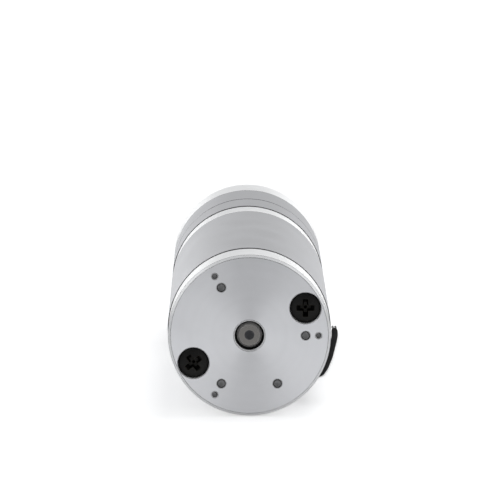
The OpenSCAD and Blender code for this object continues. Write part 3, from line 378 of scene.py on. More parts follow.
class FinishShop:
    """Makes the material of each finish and puts it on the pieces."""

    coat_roughness: float = 0.25
    stretch_turn: float = 0.25
    sloping: Range = (0.45, 0.6)
    square: Range = (0.8, 0.95)
    shade_range: Range = (0.35, 0.65)
    smoothest: float = 0.02
    dust_grey: float = 0.45
    dust_cover: float = 0.25

    def __init__(self, effects: EffectGroups) -> None:
        """Keeps the shared groups."""
        self.effects = effects
        self.materials: dict[str, bpy.types.Material] = {}

    def effect(self, net: Net, name: str, place: Socket, setting: str, value: float) -> Sockets:
        """Places a shared group in a material, with its one setting, and gives its outputs."""
        group = self.effects.groups[name]
        return net.add("ShaderNodeGroup", {"Vector": place, setting: value}, node_tree=group).outputs

    @staticmethod
    def facing_mask(net: Net, limits: Range) -> Socket:
        """Rises from 0 to 1 between two limits of how far a face points along the motor axis."""
        normal = net.add("ShaderNodeNewGeometry").outputs["True Normal"]
        return net.ramp(net.calc("ABSOLUTE", net.split(normal)["Y"]), limits)

    @staticmethod
    def at_ends(net: Net, value: Value, ends: Socket, change: float) -> Socket:
        """Adds a change to a value on faces square to the motor axis."""
        return net.calc("ADD", net.calc("MULTIPLY", ends, change), value)

    def marked_colour(self, net: Net, finish: Finish, shade: Socket, ends: Socket | None) -> Socket:
        """Gives the colour of a finish with its marks, before edge wear, painted edge shade and dust.

        Args:
            net: The material's net.
            finish: The finish.
            shade: Where the marks are light.
            ends: Mask of the faces square to the motor axis, where the finish differs there.

        Returns:
            The colour.
        """
        slopes = None if finish.bevel_colour is None else self.facing_mask(net, self.sloping)
        tones = []
        for tone in (1.0 - finish.tone, 1.0 + finish.tone):
            colour = tuple(min(1.0, part * tone) for part in finish.colour)
            if slopes is not None:
                colour = net.mix(slopes, colour, finish.bevel_colour)
            if ends is not None:
                colour = net.mix(ends, colour, tuple(part * tone for part in finish.end_colour))
            tones.append(colour)
        return net.mix(shade, *tones)

    def material(self, name: str) -> bpy.types.Material:
        """Builds the material of a finish, once.

        Args:
            name: Name of the finish.

        Returns:
            The material.
        """
        if name in self.materials:
            return self.materials[name]
        finish = FINISHES[name]
        made = bpy.data.materials.new(name)
        made.use_nodes = True
        net = Net(made.node_tree)
        shader = net.tree.nodes["Principled BSDF"].inputs
        shader["Metallic"].default_value = finish.metallic
        shader["Specular IOR Level"].default_value = finish.specular
        shader["Coat Weight"].default_value = finish.coat
        shader["Coat Roughness"].default_value = self.coat_roughness
        place = net.add("ShaderNodeTexCoord").outputs["Object"]
        marks = self.effect(net, finish.marks.value, place, "Pitch", finish.pitch)
        shade = net.ramp(marks["Shade"], self.shade_range)
        ends = None if finish.end_colour is None else self.facing_mask(net, self.square)
        colour = self.marked_colour(net, finish, shade, ends)
        roughness = net.ramp(shade, (0.0, 1.0), (max(self.smoothest, finish.roughness - finish.polish),
                                                 min(1.0, finish.roughness + finish.polish)))
        if finish.end_metallic is not None:
            change = finish.end_metallic - finish.metallic
            net.feed(shader["Metallic"], self.at_ends(net, finish.metallic, ends, change))
        if finish.end_roughness is not None:
            roughness = self.at_ends(net, roughness, ends, finish.end_roughness - finish.roughness)
        # Edge colour: real wear on some finishes, and on the turned aluminium and satin parts a dark colour
        # that paints shade along edge lines and joints.
        if finish.wear_and_shade_colour is not None:
            wear_and_shade = self.effect(net, "edge_wear_and_shade", place, "Amount", finish.wear_and_shade)
            colour = net.mix(wear_and_shade["Mask"], colour, finish.wear_and_shade_colour)
        if finish.dust > 0:
            dust = self.effect(net, "handling_dust", place, "Amount", finish.dust)
            dusty = tuple((1.0 - self.dust_cover) * part + self.dust_cover * self.dust_grey
                          for part in finish.colour)
            colour = net.mix(dust["Mask"], colour, dusty)
        net.feed(shader["Base Color"], colour)
        net.feed(shader["Roughness"], roughness)
        relief = {"Strength": 1.0, "Distance": finish.depth, "Height": marks["Height"]}
        net.feed(shader["Normal"], net.add("ShaderNodeBump", relief).outputs["Normal"])
        if finish.stretch > 0:
            shader["Anisotropic"].default_value = finish.stretch
            shader["Anisotropic Rotation"].default_value = self.stretch_turn
            around = net.add("ShaderNodeTangent", direction_type="RADIAL", axis="Y")
            net.feed(shader["Tangent"], around.outputs["Tangent"])
        self.materials[name] = made
        return made

    def dress(self, piece: Piece, name: str) -> None:
        """Puts a finish on a piece of the scene or on a solid of the frame.

        Args:
            piece: What gets the finish.
            name: Name of the finish.
        """
        made = self.material(name)
        if not piece.material_slots:
            piece.data.materials.append(made)
        for slot in piece.material_slots:
            slot.material = made


@dataclass
class Studio:
    """Camera, ground, sky and lamps."""

    camera_at: Point = (-0.0059, -1.3180, 0.2018)
    camera_turn: Point = (math.radians(81.545), 0.0, math.radians(-0.1455))
    lens: float = 278.5
    sensor: float = 36.0
    nearest: float = 0.05
    sky_colour: Colour = (0.97, 0.985, 1.0)
    sky_level: float = 0.55
    room_darkness: float = 0.75
    above_darkness: float = 0.05
    behind_darkness: float = 0.15
    room_depth: Range = (0.0, 0.35)
    room_width: Range = (0.55, 0.1)
    above_range: Range = (0.25, 0.85)
    behind_range: Range = (0.3, 0.9)
    ground_size: float = 12.0
    ground_gap: float = 0.02 * MM
    ground_colour: Colour = (0.84, 0.84, 0.84)
    ground_glow: float = 0.46
    far_glow: float = 0.4
    far_range: Range = (0.15, 1.2)
    mirror_glow: float = 0.5
    front_loss: float = 0.8
    front_range: Range = (0.2, 0.5)
    lamps_aim: Point = (0.0, -0.08, 0.0)

    def place_camera(self) -> None:
        """Adds the camera that took the photograph."""
        data = bpy.data.cameras.new("photo_camera")
        data.lens = self.lens
        data.sensor_width = self.sensor
        data.clip_start = self.nearest
        camera = bpy.data.objects.new("photo_camera", data)
        camera.location = self.camera_at
        camera.rotation_euler = self.camera_turn
        bpy.context.scene.collection.objects.link(camera)
        bpy.context.scene.camera = camera

    def hang_sky(self) -> None:
        """Makes the world a plain soft light that the camera and metal see as white."""
        world = bpy.data.worlds.new("studio_sky")
        bpy.context.scene.world = world
        world.use_nodes = True
        net = Net(world.node_tree)
        net.tree.nodes.clear()
        soft = net.add("ShaderNodeBackground", {"Color": self.sky_colour, "Strength": self.sky_level})
        plain = net.add("ShaderNodeBackground", {"Color": WHITE, "Strength": self.mirrored_sky(net)})
        rays = net.rays()
        seen = net.calc("MAXIMUM", net.calc("MAXIMUM", rays["Is Camera Ray"], rays["Is Glossy Ray"]),
                        rays["Is Transmission Ray"])
        both = net.add("ShaderNodeMixShader", {0: seen, 1: soft.outputs[0], 2: plain.outputs[0]})
        net.add("ShaderNodeOutputWorld", {"Surface": both.outputs[0]})

    def mirrored_sky(self, net: Net) -> Socket:
        """Gives the strength of the sky: 1 for the camera, and in metal darker where the camera's room is.

        Args:
            net: The world's net.

        Returns:
            The strength.
        """
        parts = net.split(net.add("ShaderNodeTexCoord").outputs["Generated"])
        towards = net.ramp(net.calc("MULTIPLY", parts["Y"], -1.0), self.room_depth, smooth=True)
        middle = net.ramp(net.calc("ABSOLUTE", parts["X"]), self.room_width, smooth=True)
        above = net.ramp(parts["Z"], self.above_range, smooth=True)
        behind = net.ramp(parts["Y"], self.behind_range, smooth=True)
        darkness = net.calc("MULTIPLY", net.calc("MULTIPLY", towards, middle), self.room_darkness)
        for where, amount in ((above, self.above_darkness), (behind, self.behind_darkness)):
            darkness = net.calc("ADD", darkness, net.calc("MULTIPLY", where, amount))
        level = net.calc("MAXIMUM", net.calc("SUBTRACT", 1.0, darkness), 0.0)
        return net.calc("MAXIMUM", level, net.rays()["Is Camera Ray"])

    def ground_light(self, net: Net) -> Socket:
        """Gives the glow that keeps the ground white, less in metal where the ground is near the camera.

        Args:
            net: The ground's net.

        Returns:
            The strength of the glow.
        """
        place = net.add("ShaderNodeTexCoord").outputs["Object"]
        rays = net.rays()
        nearer = net.ramp(net.calc("MULTIPLY", net.split(place)["Y"], -1.0), self.front_range, smooth=True)
        far = net.calc("MULTIPLY", net.ramp(net.length(place), self.far_range, smooth=True), self.far_glow)
        kept = net.calc("SUBTRACT", 1.0, net.calc("MULTIPLY", nearer, self.front_loss))
        either = net.calc("MAXIMUM", rays["Is Glossy Ray"], rays["Is Transmission Ray"])
        mirrored = net.calc("MULTIPLY", net.calc("MULTIPLY", either, kept), self.mirror_glow)
        direct = net.calc("MULTIPLY", rays["Is Camera Ray"], net.calc("ADD", far, self.ground_glow))
        return net.calc("ADD", mirrored, direct)

    def lay_ground(self) -> None:
        """Lays a white ground that keeps the shadow of the motor."""
        Bench.clear()
        bpy.ops.mesh.primitive_plane_add(size=self.ground_size,
                                         location=(0.0, 0.0, -BODY_R - self.ground_gap))
        ground = bpy.context.active_object
        ground.name = "ground"
        Bench.settle(ground)
        made = bpy.data.materials.new("white_ground")
        made.use_nodes = True
        net = Net(made.node_tree)
        net.tree.nodes.clear()
        matte = net.add("ShaderNodeBsdfDiffuse", {"Color": self.ground_colour})
        glow = net.add("ShaderNodeEmission", {"Color": WHITE, "Strength": self.ground_light(net)})
        both = net.add("ShaderNodeAddShader", {0: matte.outputs[0], 1: glow.outputs[0]})
        net.add("ShaderNodeOutputMaterial", {"Surface": both.outputs[0]})
        ground.data.materials.append(made)

    def hang_lamp(self, name: str, at: Point, size: float, power: float, on_matte: bool = True,
                  in_metal: bool = True) -> None:
        """Hangs a square soft lamp that points at the motor.

        Args:
            name: Name of the lamp.
            at: Where it hangs.
            size: Its side.
            power: Its power in watts.
            on_matte: False for a card that only shows in metal.
            in_metal: False for a lamp that no metal mirrors.
        """
        data = bpy.data.lights.new(name, "AREA")
        data.size = size
        data.energy = power
        lamp = bpy.data.objects.new(name, data)
        lamp.location = at
        lamp.visible_diffuse = on_matte
        lamp.visible_glossy = in_metal
        lamp.rotation_euler = (Vector(self.lamps_aim) - Vector(at)).to_track_quat("-Z", "Y").to_euler()
        bpy.context.scene.collection.objects.link(lamp)

    def build(self) -> None:
        """Sets up the whole studio."""
        self.place_camera()
        self.hang_sky()
        self.lay_ground()
        self.hang_lamp("overhead", (0.22, -0.05, 1.1), 0.45, 3.0, in_metal=False)
        self.hang_lamp("right_side", (0.85, 0.1, 0.6), 0.9, 0.6)
        self.hang_lamp("right_card", (0.9, 0.1, 0.62), 0.9, 8.5, on_matte=False)
        self.hang_lamp("left_card", (-0.9, 0.1, 0.55), 0.9, 11.5, on_matte=False)


class Bench:
    """Operator calls that the sub-assemblies share. Each leaves only its own piece selected."""

    @staticmethod
    def clear() -> None:
        """Leaves edit mode and deselects everything."""
        if bpy.context.active_object is not None and bpy.context.active_object.mode != "OBJECT":
            bpy.ops.object.mode_set(mode="OBJECT")
        bpy.ops.object.select_all(action="DESELECT")

    @classmethod
    def pick(cls, piece: Piece) -> None:
        """Makes a piece the only one selected, and active.

        Args:
            piece: The piece.
        """
        cls.clear()
        piece.select_set(True)
        bpy.context.view_layer.objects.active = piece

    @classmethod
    def settle(cls, piece: Piece) -> None:
        """Puts the place of a piece in its mesh."""
        cls.pick(piece)
        bpy.ops.object.transform_apply(location=True, rotation=True, scale=True)

    @classmethod
    def move(cls, piece: Piece, at: Point, turn: Point = (0.0, 0.0, 0.0)) -> None:
        """Turns a piece about the origin, moves it and keeps that in its mesh."""
        piece.rotation_euler, piece.location = turn, at
        cls.settle(piece)

    @classmethod
    def rod(cls, name: str, radius: float, length: float, at: Point, sides: int) -> Piece:
        """Adds a cylinder along Y.

        Args:
            name: Its name.
            radius: Its radius.
            length: Its length.
            at: Its middle.
            sides: How many sides.

        Returns:
            The piece, with its place in its mesh.
        """
        cls.clear()
        bpy.ops.mesh.primitive_cylinder_add(vertices=sides, radius=radius, depth=length, location=at,
                                            rotation=(math.pi / 2, 0.0, 0.0))
        piece = bpy.context.active_object
        piece.name = name
        cls.settle(piece)
        return piece

    @classmethod
    def turn(cls, name: str, profile: list[Range], sides: int) -> Piece:
        """Turns a profile round the Y axis, as on a lathe.

        Args:
            name: Its name.
            profile: Points of radius and place along Y, in order.
            sides: How many sides it gets.

        Returns:
            The piece, with its faces turned outwards.
        """
        cls.clear()
        bpy.ops.mesh.primitive_plane_add(size=1.0 * MM)
        piece = bpy.context.active_object
        piece.name = name
        bpy.ops.object.mode_set(mode="EDIT")
        bpy.ops.mesh.select_mode(type="VERT")
        bpy.ops.mesh.select_all(action="SELECT")
        bpy.ops.mesh.merge(type="CENTER")
        bpy.ops.mesh.select_all(action="SELECT")
        bpy.ops.transform.translate(value=(*profile[0], 0.0))
        for (radius, along), (next_radius, next_along) in zip(profile, profile[1:]):
            bpy.ops.mesh.extrude_vertices_move(
                TRANSFORM_OT_translate={"value": (next_radius - radius, next_along - along, 0.0)})
        bpy.ops.mesh.select_all(action="SELECT")
        bpy.ops.mesh.spin(steps=sides, angle=2 * math.pi, center=(0.0, 0.0, 0.0), axis=(0.0, 1.0, 0.0))
        cls.tidy_mesh(piece)
        return piece

    @staticmethod
    def wire(name: str, kind: str, points: list[Point], radius: float, roundness: int) -> Piece:
        """Bends a round wire along points.

        Args:
            name: Its name.
            kind: BEZIER for a smooth bend, POLY for straight steps.
            points: Its points.
            radius: Its radius.
            roundness: How finely its section is divided.

        Returns:
            The wire, a curve of one open spline.
        """
        data = bpy.data.curves.new(name, "CURVE")
        data.dimensions = "3D"
        data.bevel_depth = radius
        data.bevel_resolution = roundness
        data.resolution_u = 8
        data.use_fill_caps = True
        spline = data.splines.new(kind)
        smooth = kind == "BEZIER"
        knots = spline.bezier_points if smooth else spline.points
        knots.add(len(points) - 1)
        for knot, place in zip(knots, points):
            knot.co = place if smooth else (*place, 1.0)
            if smooth:
                knot.handle_left_type = knot.handle_right_type = "AUTO"
        piece = bpy.data.objects.new(name, data)
        bpy.context.scene.collection.objects.link(piece)
        return piece

    @classmethod
    def edit(cls, piece: Piece, kind: str, chosen: Callable[[Vector, Vector], bool]) -> None:
        """Enters edit mode with the chosen faces or edges selected.

        Args:
            piece: The piece.
            kind: FACE or EDGE.
            chosen: Says it of a face's centre and normal, or of an edge's two ends.
        """
        cls.pick(piece)
        bpy.ops.object.mode_set(mode="EDIT")
        bpy.ops.mesh.select_mode(type=kind)
        bpy.ops.mesh.select_all(action="DESELECT")
        mesh = bmesh.from_edit_mesh(piece.data)
        if kind == "FACE":
            facts = [(face, face.calc_center_median(), face.normal) for face in mesh.faces]
        else:
            facts = [(edge, edge.verts[0].co, edge.verts[1].co) for edge in mesh.edges]
        for part, first, second in facts:
            if chosen(first, second):
                part.select_set(True)
        bmesh.update_edit_mesh(piece.data)

    @classmethod
    def round_ring(cls, piece: Piece, y: float, size: float, segments: int) -> None:
        """Bevels the edges that lie in one plane across Y.

        Args:
            piece: The piece.
            y: Where the plane is.
            size: Size of the bevel.
            segments: How many steps round it.
        """
        cls.edit(piece, "EDGE", lambda a, b: abs(a.y - y) < TOUCH and abs(b.y - y) < TOUCH)
        bpy.ops.mesh.bevel(offset=size, segments=segments)
        cls.clear()

    @classmethod
    def repeat(cls, first: Piece, circle: float, angles: tuple[float, ...]) -> list[Piece]:
        """Sets copies of a piece round the motor axis and removes the first.

        Args:
            first: The piece, on the axis.
            circle: Radius of their circle.
            angles: Their angles in degrees.

        Returns:
            The copies, each with its own mesh.
        """
        copies = []
        for angle in angles:
            cls.pick(first)
            bpy.ops.object.duplicate()
            copies.append(bpy.context.active_object)
            cls.move(copies[-1], on_circle(circle, angle))
        bpy.data.objects.remove(first)
        return copies

    @classmethod
    def subtract(cls, piece: Piece, cutter: Piece) -> None:
        """Cuts one piece out of another and removes the cutter.

        Args:
            piece: What is cut.
            cutter: What is cut out of it.
        """
        cls.pick(piece)
        modifier = piece.modifiers.new("cut", "BOOLEAN")
        modifier.operation = "DIFFERENCE"
        modifier.solver = "EXACT"
        modifier.object = cutter
        bpy.ops.object.modifier_apply(modifier=modifier.name)
        bpy.data.objects.remove(cutter)

    @classmethod
    def join(cls, name: str, pieces: list[Piece]) -> Piece:
        """Joins two or more pieces into one.

        Args:
            name: Name of the whole.
            pieces: What is joined.

        Returns:
            The whole.
        """
        cls.clear()
        for piece in pieces:
            piece.select_set(True)
        bpy.context.view_layer.objects.active = pieces[0]
        bpy.ops.object.join()
        pieces[0].name = name
        return pieces[0]

    @classmethod
    def smooth(cls, piece: Piece, angle: float) -> None:
        """Shades a piece smooth, apart from edges above an angle in degrees."""
        cls.pick(piece)
        bpy.ops.object.shade_smooth_by_angle(angle=math.radians(angle))

    @classmethod
    def tidy_mesh(cls, piece: Piece) -> None:
        """Merges doubles and turns the faces outwards.

        Args:
            piece: The piece.
        """
        cls.pick(piece)
        bpy.ops.object.mode_set(mode="EDIT")
        bpy.ops.mesh.select_all(action="SELECT")
        bpy.ops.mesh.remove_doubles(threshold=SAME_POINT)
        bpy.ops.mesh.normals_make_consistent(inside=False)
        bpy.ops.object.mode_set(mode="OBJECT")

    @classmethod
    def thread(cls, name: str, radius: float, pitch: float, length: float, start: Point, inwards: bool,
               steps: int = 20) -> Piece:
        """Winds a thread ridge round a line along +Y.

        Args:
            name: Its name.
            radius: Radius of the wall that it stands on.
            pitch: Distance between two turns.
            length: Length of the thread.
            start: Low end of its axis.
            inwards: Whether the ridge points to the axis, as in a nut.
            steps: Steps in a turn.

        Returns:
            The ridge, closed at both ends.
        """
        cls.clear()
        bpy.ops.mesh.primitive_circle_add(vertices=3, radius=0.5 * pitch, fill_type="NOTHING",
                                          rotation=(math.pi / 2, 0.0, math.pi if inwards else 0.0))
        ridge = bpy.context.active_object
        ridge.name = name
        cls.settle(ridge)
        bpy.ops.object.mode_set(mode="EDIT")
        bpy.ops.mesh.select_all(action="SELECT")
        bpy.ops.transform.rotate(value=math.pi / 2, orient_axis="Y", center_override=(0.0, 0.0, 0.0))
        bpy.ops.transform.translate(value=(radius, 0.0, 0.0))
        bpy.ops.object.mode_set(mode="OBJECT")
        screw = ridge.modifiers.new("wind", "SCREW")
        screw.axis = "Z"
        screw.screw_offset = pitch
        screw.iterations = max(1, round(length / pitch))
        screw.steps = screw.render_steps = steps
        bpy.ops.object.modifier_apply(modifier=screw.name)
        bpy.ops.object.mode_set(mode="EDIT")
        bpy.ops.mesh.select_all(action="DESELECT")
        bpy.ops.mesh.select_mode(type="EDGE")
        bpy.ops.mesh.select_non_manifold()
        bpy.ops.mesh.fill()
        bpy.ops.object.mode_set(mode="OBJECT")
        cls.move(ridge, start, (-math.pi / 2, 0.0, 0.0))
        cls.tidy_mesh(ridge)
        return ridge


@dataclass
class Lead:
    """The sleeved two-core lead and its stripped tips."""

    diameter: float = 2.2 * MM
    length: float = 0.1192
    exit: Point = (0.0182, -0.1315, -0.0203)
    route: tuple[Point, ...] = (
        (0.0182, -0.1315, -0.0203), (0.0182, -0.128, -0.0203), (0.0184, -0.124, -0.0207),
        (0.0187, -0.12, -0.0217), (0.019, -0.116, -0.0228), (0.0193, -0.112, -0.0237),
        (0.0197, -0.108, -0.0243), (0.0203, -0.104, -0.02465), (0.0213, -0.1005, -0.0248),
        (0.0229, -0.0981, -0.02486), (0.0242, -0.0955, -0.02487), (0.02495, -0.0915, -0.02487),
        (0.0258, -0.086, -0.02487), (0.02685, -0.076, -0.02487), (0.02795, -0.065, -0.02487),
        (0.0288, -0.054, -0.02487), (0.0296, -0.043, -0.02487), (0.0303, -0.033, -0.02487),
        (0.03085, -0.024, -0.02487), (0.0310, -0.019, -0.02487), (0.03108, -0.016, -0.02487),
        (0.0311, -0.0135, -0.02487))
    tip_spread: float = 0.5 * MM
    tip_rise: float = 0.15 * MM
    tip_length: float = 8.0 * MM
    core_length: float = 2.4 * MM
    core_diameter: float = 0.95 * MM
    core_round: float = 0.12 * MM
    overlap: float = 0.2 * MM
    strand_radius: float = 0.15 * MM
    strand_circle: float = 0.29 * MM
    strand_trim: float = 0.12 * MM
    strand_steps: int = 14
    strand_twist: float = 1.6 * math.pi

    def make_tip(self, side: float) -> tuple[list[Piece], Piece]:
        """Makes one stripped core: seven twisted strands and their insulation.

        Args:
            side: -1 or 1, which of the two cores.

        Returns:
            The strands and the insulation.
        """
        x, y, z = self.route[-1]
        x += side * self.tip_spread
        cover = Bench.rod("core_insulation", self.core_diameter / 2, self.core_length + 2 * self.overlap,
                          (x, y + self.core_length / 2 - self.overlap, z), 16)
        Bench.round_ring(cover, y + self.core_length, self.core_round, 2)
        start_y = y + self.core_length - self.overlap
        strands = []
        for strand in range(7):
            circle = 0.0 if strand == 6 else self.strand_circle
            reach = self.tip_length - self.core_length + self.overlap - (strand % 3) * self.strand_trim
            points = []
            for step in range(self.strand_steps + 1):
                share = step / self.strand_steps
                angle = strand * math.pi / 3 + self.strand_twist * share
                rise = self.tip_rise * share ** 2
                points.append((x + circle * math.cos(angle), start_y + reach * share,
                               z + rise + circle * math.sin(angle)))
            wire = Bench.wire("strand", "POLY", points, self.strand_radius, 1)
            Bench.pick(wire)
            bpy.ops.object.convert(target="MESH")
            strands.append(bpy.context.active_object)
        return strands, cover

    def build(self, shop: FinishShop) -> None:
        """Args:
            shop: Gives the finishes.
        """
        sleeve = Bench.wire("lead_sleeve", "BEZIER", list(self.route), self.diameter / 2, 6)
        shop.dress(sleeve, "lead_sleeve")
        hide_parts("lead_cable")
        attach(sleeve, "housing")
        strands, covers = [], []
        for side in (-1.0, 1.0):
            bundle, cover = self.make_tip(side)
            strands += bundle
            covers.append(cover)
        tips = Bench.join("lead_strands", strands)
        Bench.smooth(tips, 50.0)
        shop.dress(tips, "tinned_copper")
        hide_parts("lead_tips")
        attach(tips, "housing")
        insulation = Bench.join("lead_core_insulation", covers)
        Bench.smooth(insulation, 35.0)
        shop.dress(insulation, "lead_sleeve")
        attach(insulation, "housing")
        LOG.info("lead: sleeve, two cores, tips")


@dataclass
class Grommet:
    """The ribbed rubber grommet that turns the lead along the motor."""

    angle: float = -48.0
    axis_radius: float = 27.25 * MM
    exit_y: float = -139.5 * MM
    mouth_y: float = -131.5 * MM
    mouth_proud: float = 0.06 * MM
    barrel_radius: float = 1.9 * MM
    lead_radius: float = 1.1 * MM
    ribs: int = 5
    first_rib: float = 1.0 * MM
    rib_pitch: float = 1.25 * MM
    mouth_corner: tuple[Range, ...] = ((-0.35 * MM, 0.0), (-0.12 * MM, -0.08 * MM), (0.0, -0.3 * MM))
    rib_groove: tuple[Range, ...] = (
        (0.0, 0.0), (-0.3 * MM, -0.12 * MM), (-0.3 * MM, -0.55 * MM), (0.0, -0.67 * MM))
    flange_radius: float = 3.8 * MM
    flange_foot: float = 25.0 * MM
    flange_top: float = 26.9 * MM
    flange_corner: tuple[Range, ...] = (
        (0.0, -0.35 * MM), (-0.1 * MM, -0.12 * MM), (-0.35 * MM, 0.0), (-0.9 * MM, 0.0),
        (-1.3 * MM, 0.1 * MM), (-1.6 * MM, 0.4 * MM))
    tube_room: float = 24.0 * MM

    def barrel(self) -> Piece:
        """Turns the ribbed barrel with its round end.

        Returns:
            The barrel, on the Y axis.
        """
        r, mouth = self.barrel_radius, self.mouth_y
        profile = [(0.0, mouth - self.mouth_proud), (self.lead_radius, mouth - self.mouth_proud),
                   (self.lead_radius, mouth)]
        profile += [(r + out, mouth + along) for out, along in self.mouth_corner]
        for rib in range(self.ribs):
            top = mouth - (self.first_rib + self.rib_pitch * rib)
            profile += [(r + out, top + along) for out, along in self.rib_groove]
        for degrees in range(0, 91, 15):
            bend = math.radians(degrees)
            profile.append((r * math.cos(bend), self.exit_y - r * math.sin(bend)))
        return Bench.turn("grommet_barrel", profile, 40)

    def flange(self) -> Piece:
        """Turns the flange that sits on the tube, on the Y axis."""
        corner = [(self.flange_radius + out, self.flange_top + along) for out, along in self.flange_corner]
        return Bench.turn("grommet_flange", [
            (0.0, self.flange_foot), (self.flange_radius, self.flange_foot), *corner,
            (0.0, corner[-1][1])], 48)

    def build(self, shop: FinishShop) -> None:
        """Builds the grommet.

        Args:
            shop: Gives the finish.
        """
        barrel, flange = self.barrel(), self.flange()
        Bench.move(barrel, on_circle(self.axis_radius, self.angle))
        Bench.move(flange, (0.0, 0.0, 0.0), (0.0, 0.0, -math.pi / 2))
        Bench.move(flange, (0.0, self.exit_y, 0.0), (0.0, -math.radians(self.angle), 0.0))
        for part in (barrel, flange):
            Bench.subtract(part, Bench.rod("tube_room", BODY_R, self.tube_room, (0.0, self.exit_y, 0.0), 128))
        grommet = Bench.join("ribbed_grommet", [barrel, flange])
        Bench.smooth(grommet, 40.0)
        shop.dress(grommet, "rubber")
        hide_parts("lead_grommet")
        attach(grommet, "housing")
        LOG.info("grommet: %d faces", len(grommet.data.polygons))


@dataclass
class ShaftRing:
    """The black felt ring round the end of the motor shaft, with a thin black rim up the bore wall that
    paints shade on it.
    """

    inner: float = 4.03 * MM
    outer: float = 4.64 * MM
    top_y: float = -163.6 * MM
    depth: float = 1.5 * MM
    edge: float = 0.08 * MM
    shoulder: float = 0.1 * MM
    crown: float = 0.05 * MM
    # The thin black rim up the bore wall reaches to here; it paints the shade in the bore.
    shade_rim_y: float = -164.8 * MM
    shade_rim_wall: float = 0.03 * MM

    def build(self, shop: FinishShop) -> None:
        """Builds the ring.

        Args:
            shop: Gives the finish.
        """
        low, shoulder = self.top_y + self.depth, self.top_y + self.shoulder
        middle, shade_rim = (self.inner + self.outer) / 2, self.outer - self.shade_rim_wall
        ring = Bench.turn("shaft_felt_ring", [
            (self.inner, low), (self.inner, shoulder), (self.inner + self.edge, self.top_y),
            (middle, self.top_y - self.crown), (self.outer - self.edge, self.top_y), (shade_rim, shoulder),
            (shade_rim, self.shade_rim_y), (self.outer, self.shade_rim_y), (self.outer, low), (self.inner, low)], 64)
        Bench.smooth(ring, 50.0)
        shop.dress(ring, "felt")
        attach(ring, "housing")
        LOG.info("shaft felt ring")


@dataclass
class ShaftCentre:
    """A thin dark lining in the centre hole in the end of the motor shaft, painting the shade on the hole's
    wall, with a lip that paints a dark outline round its mouth.
    """

    face_y: float = -164.2 * MM
    mouth: float = 1.45 * MM
    lip: float = 0.015 * MM
    pilot: float = 0.48 * MM
    depth: float = 1.0 * MM
    skin: float = 0.05 * MM

    def build(self, shop: FinishShop) -> None:
        """Builds the lining.

        Args:
            shop: Gives the finish.
        """
        skin, low, top = self.skin, self.face_y + self.depth, self.face_y - self.lip
        lining = Bench.turn("shaft_centre_hole", [
            (0.0, low + 2 * skin), (self.pilot - skin, low), (self.mouth - skin, self.face_y + skin),
            (self.mouth - skin, top), (self.mouth + 2 * skin, top), (self.mouth, self.face_y + skin),
            (self.pilot, low), (self.pilot, low + 2 * skin), (0.0, low + 4 * skin)], 48)
        Bench.smooth(lining, 40.0)
        # The dark ferrite colour paints the shade in the centre hole.
        shop.dress(lining, "ferrite")
        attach(lining, "rotor")
        LOG.info("shaft centre hole")


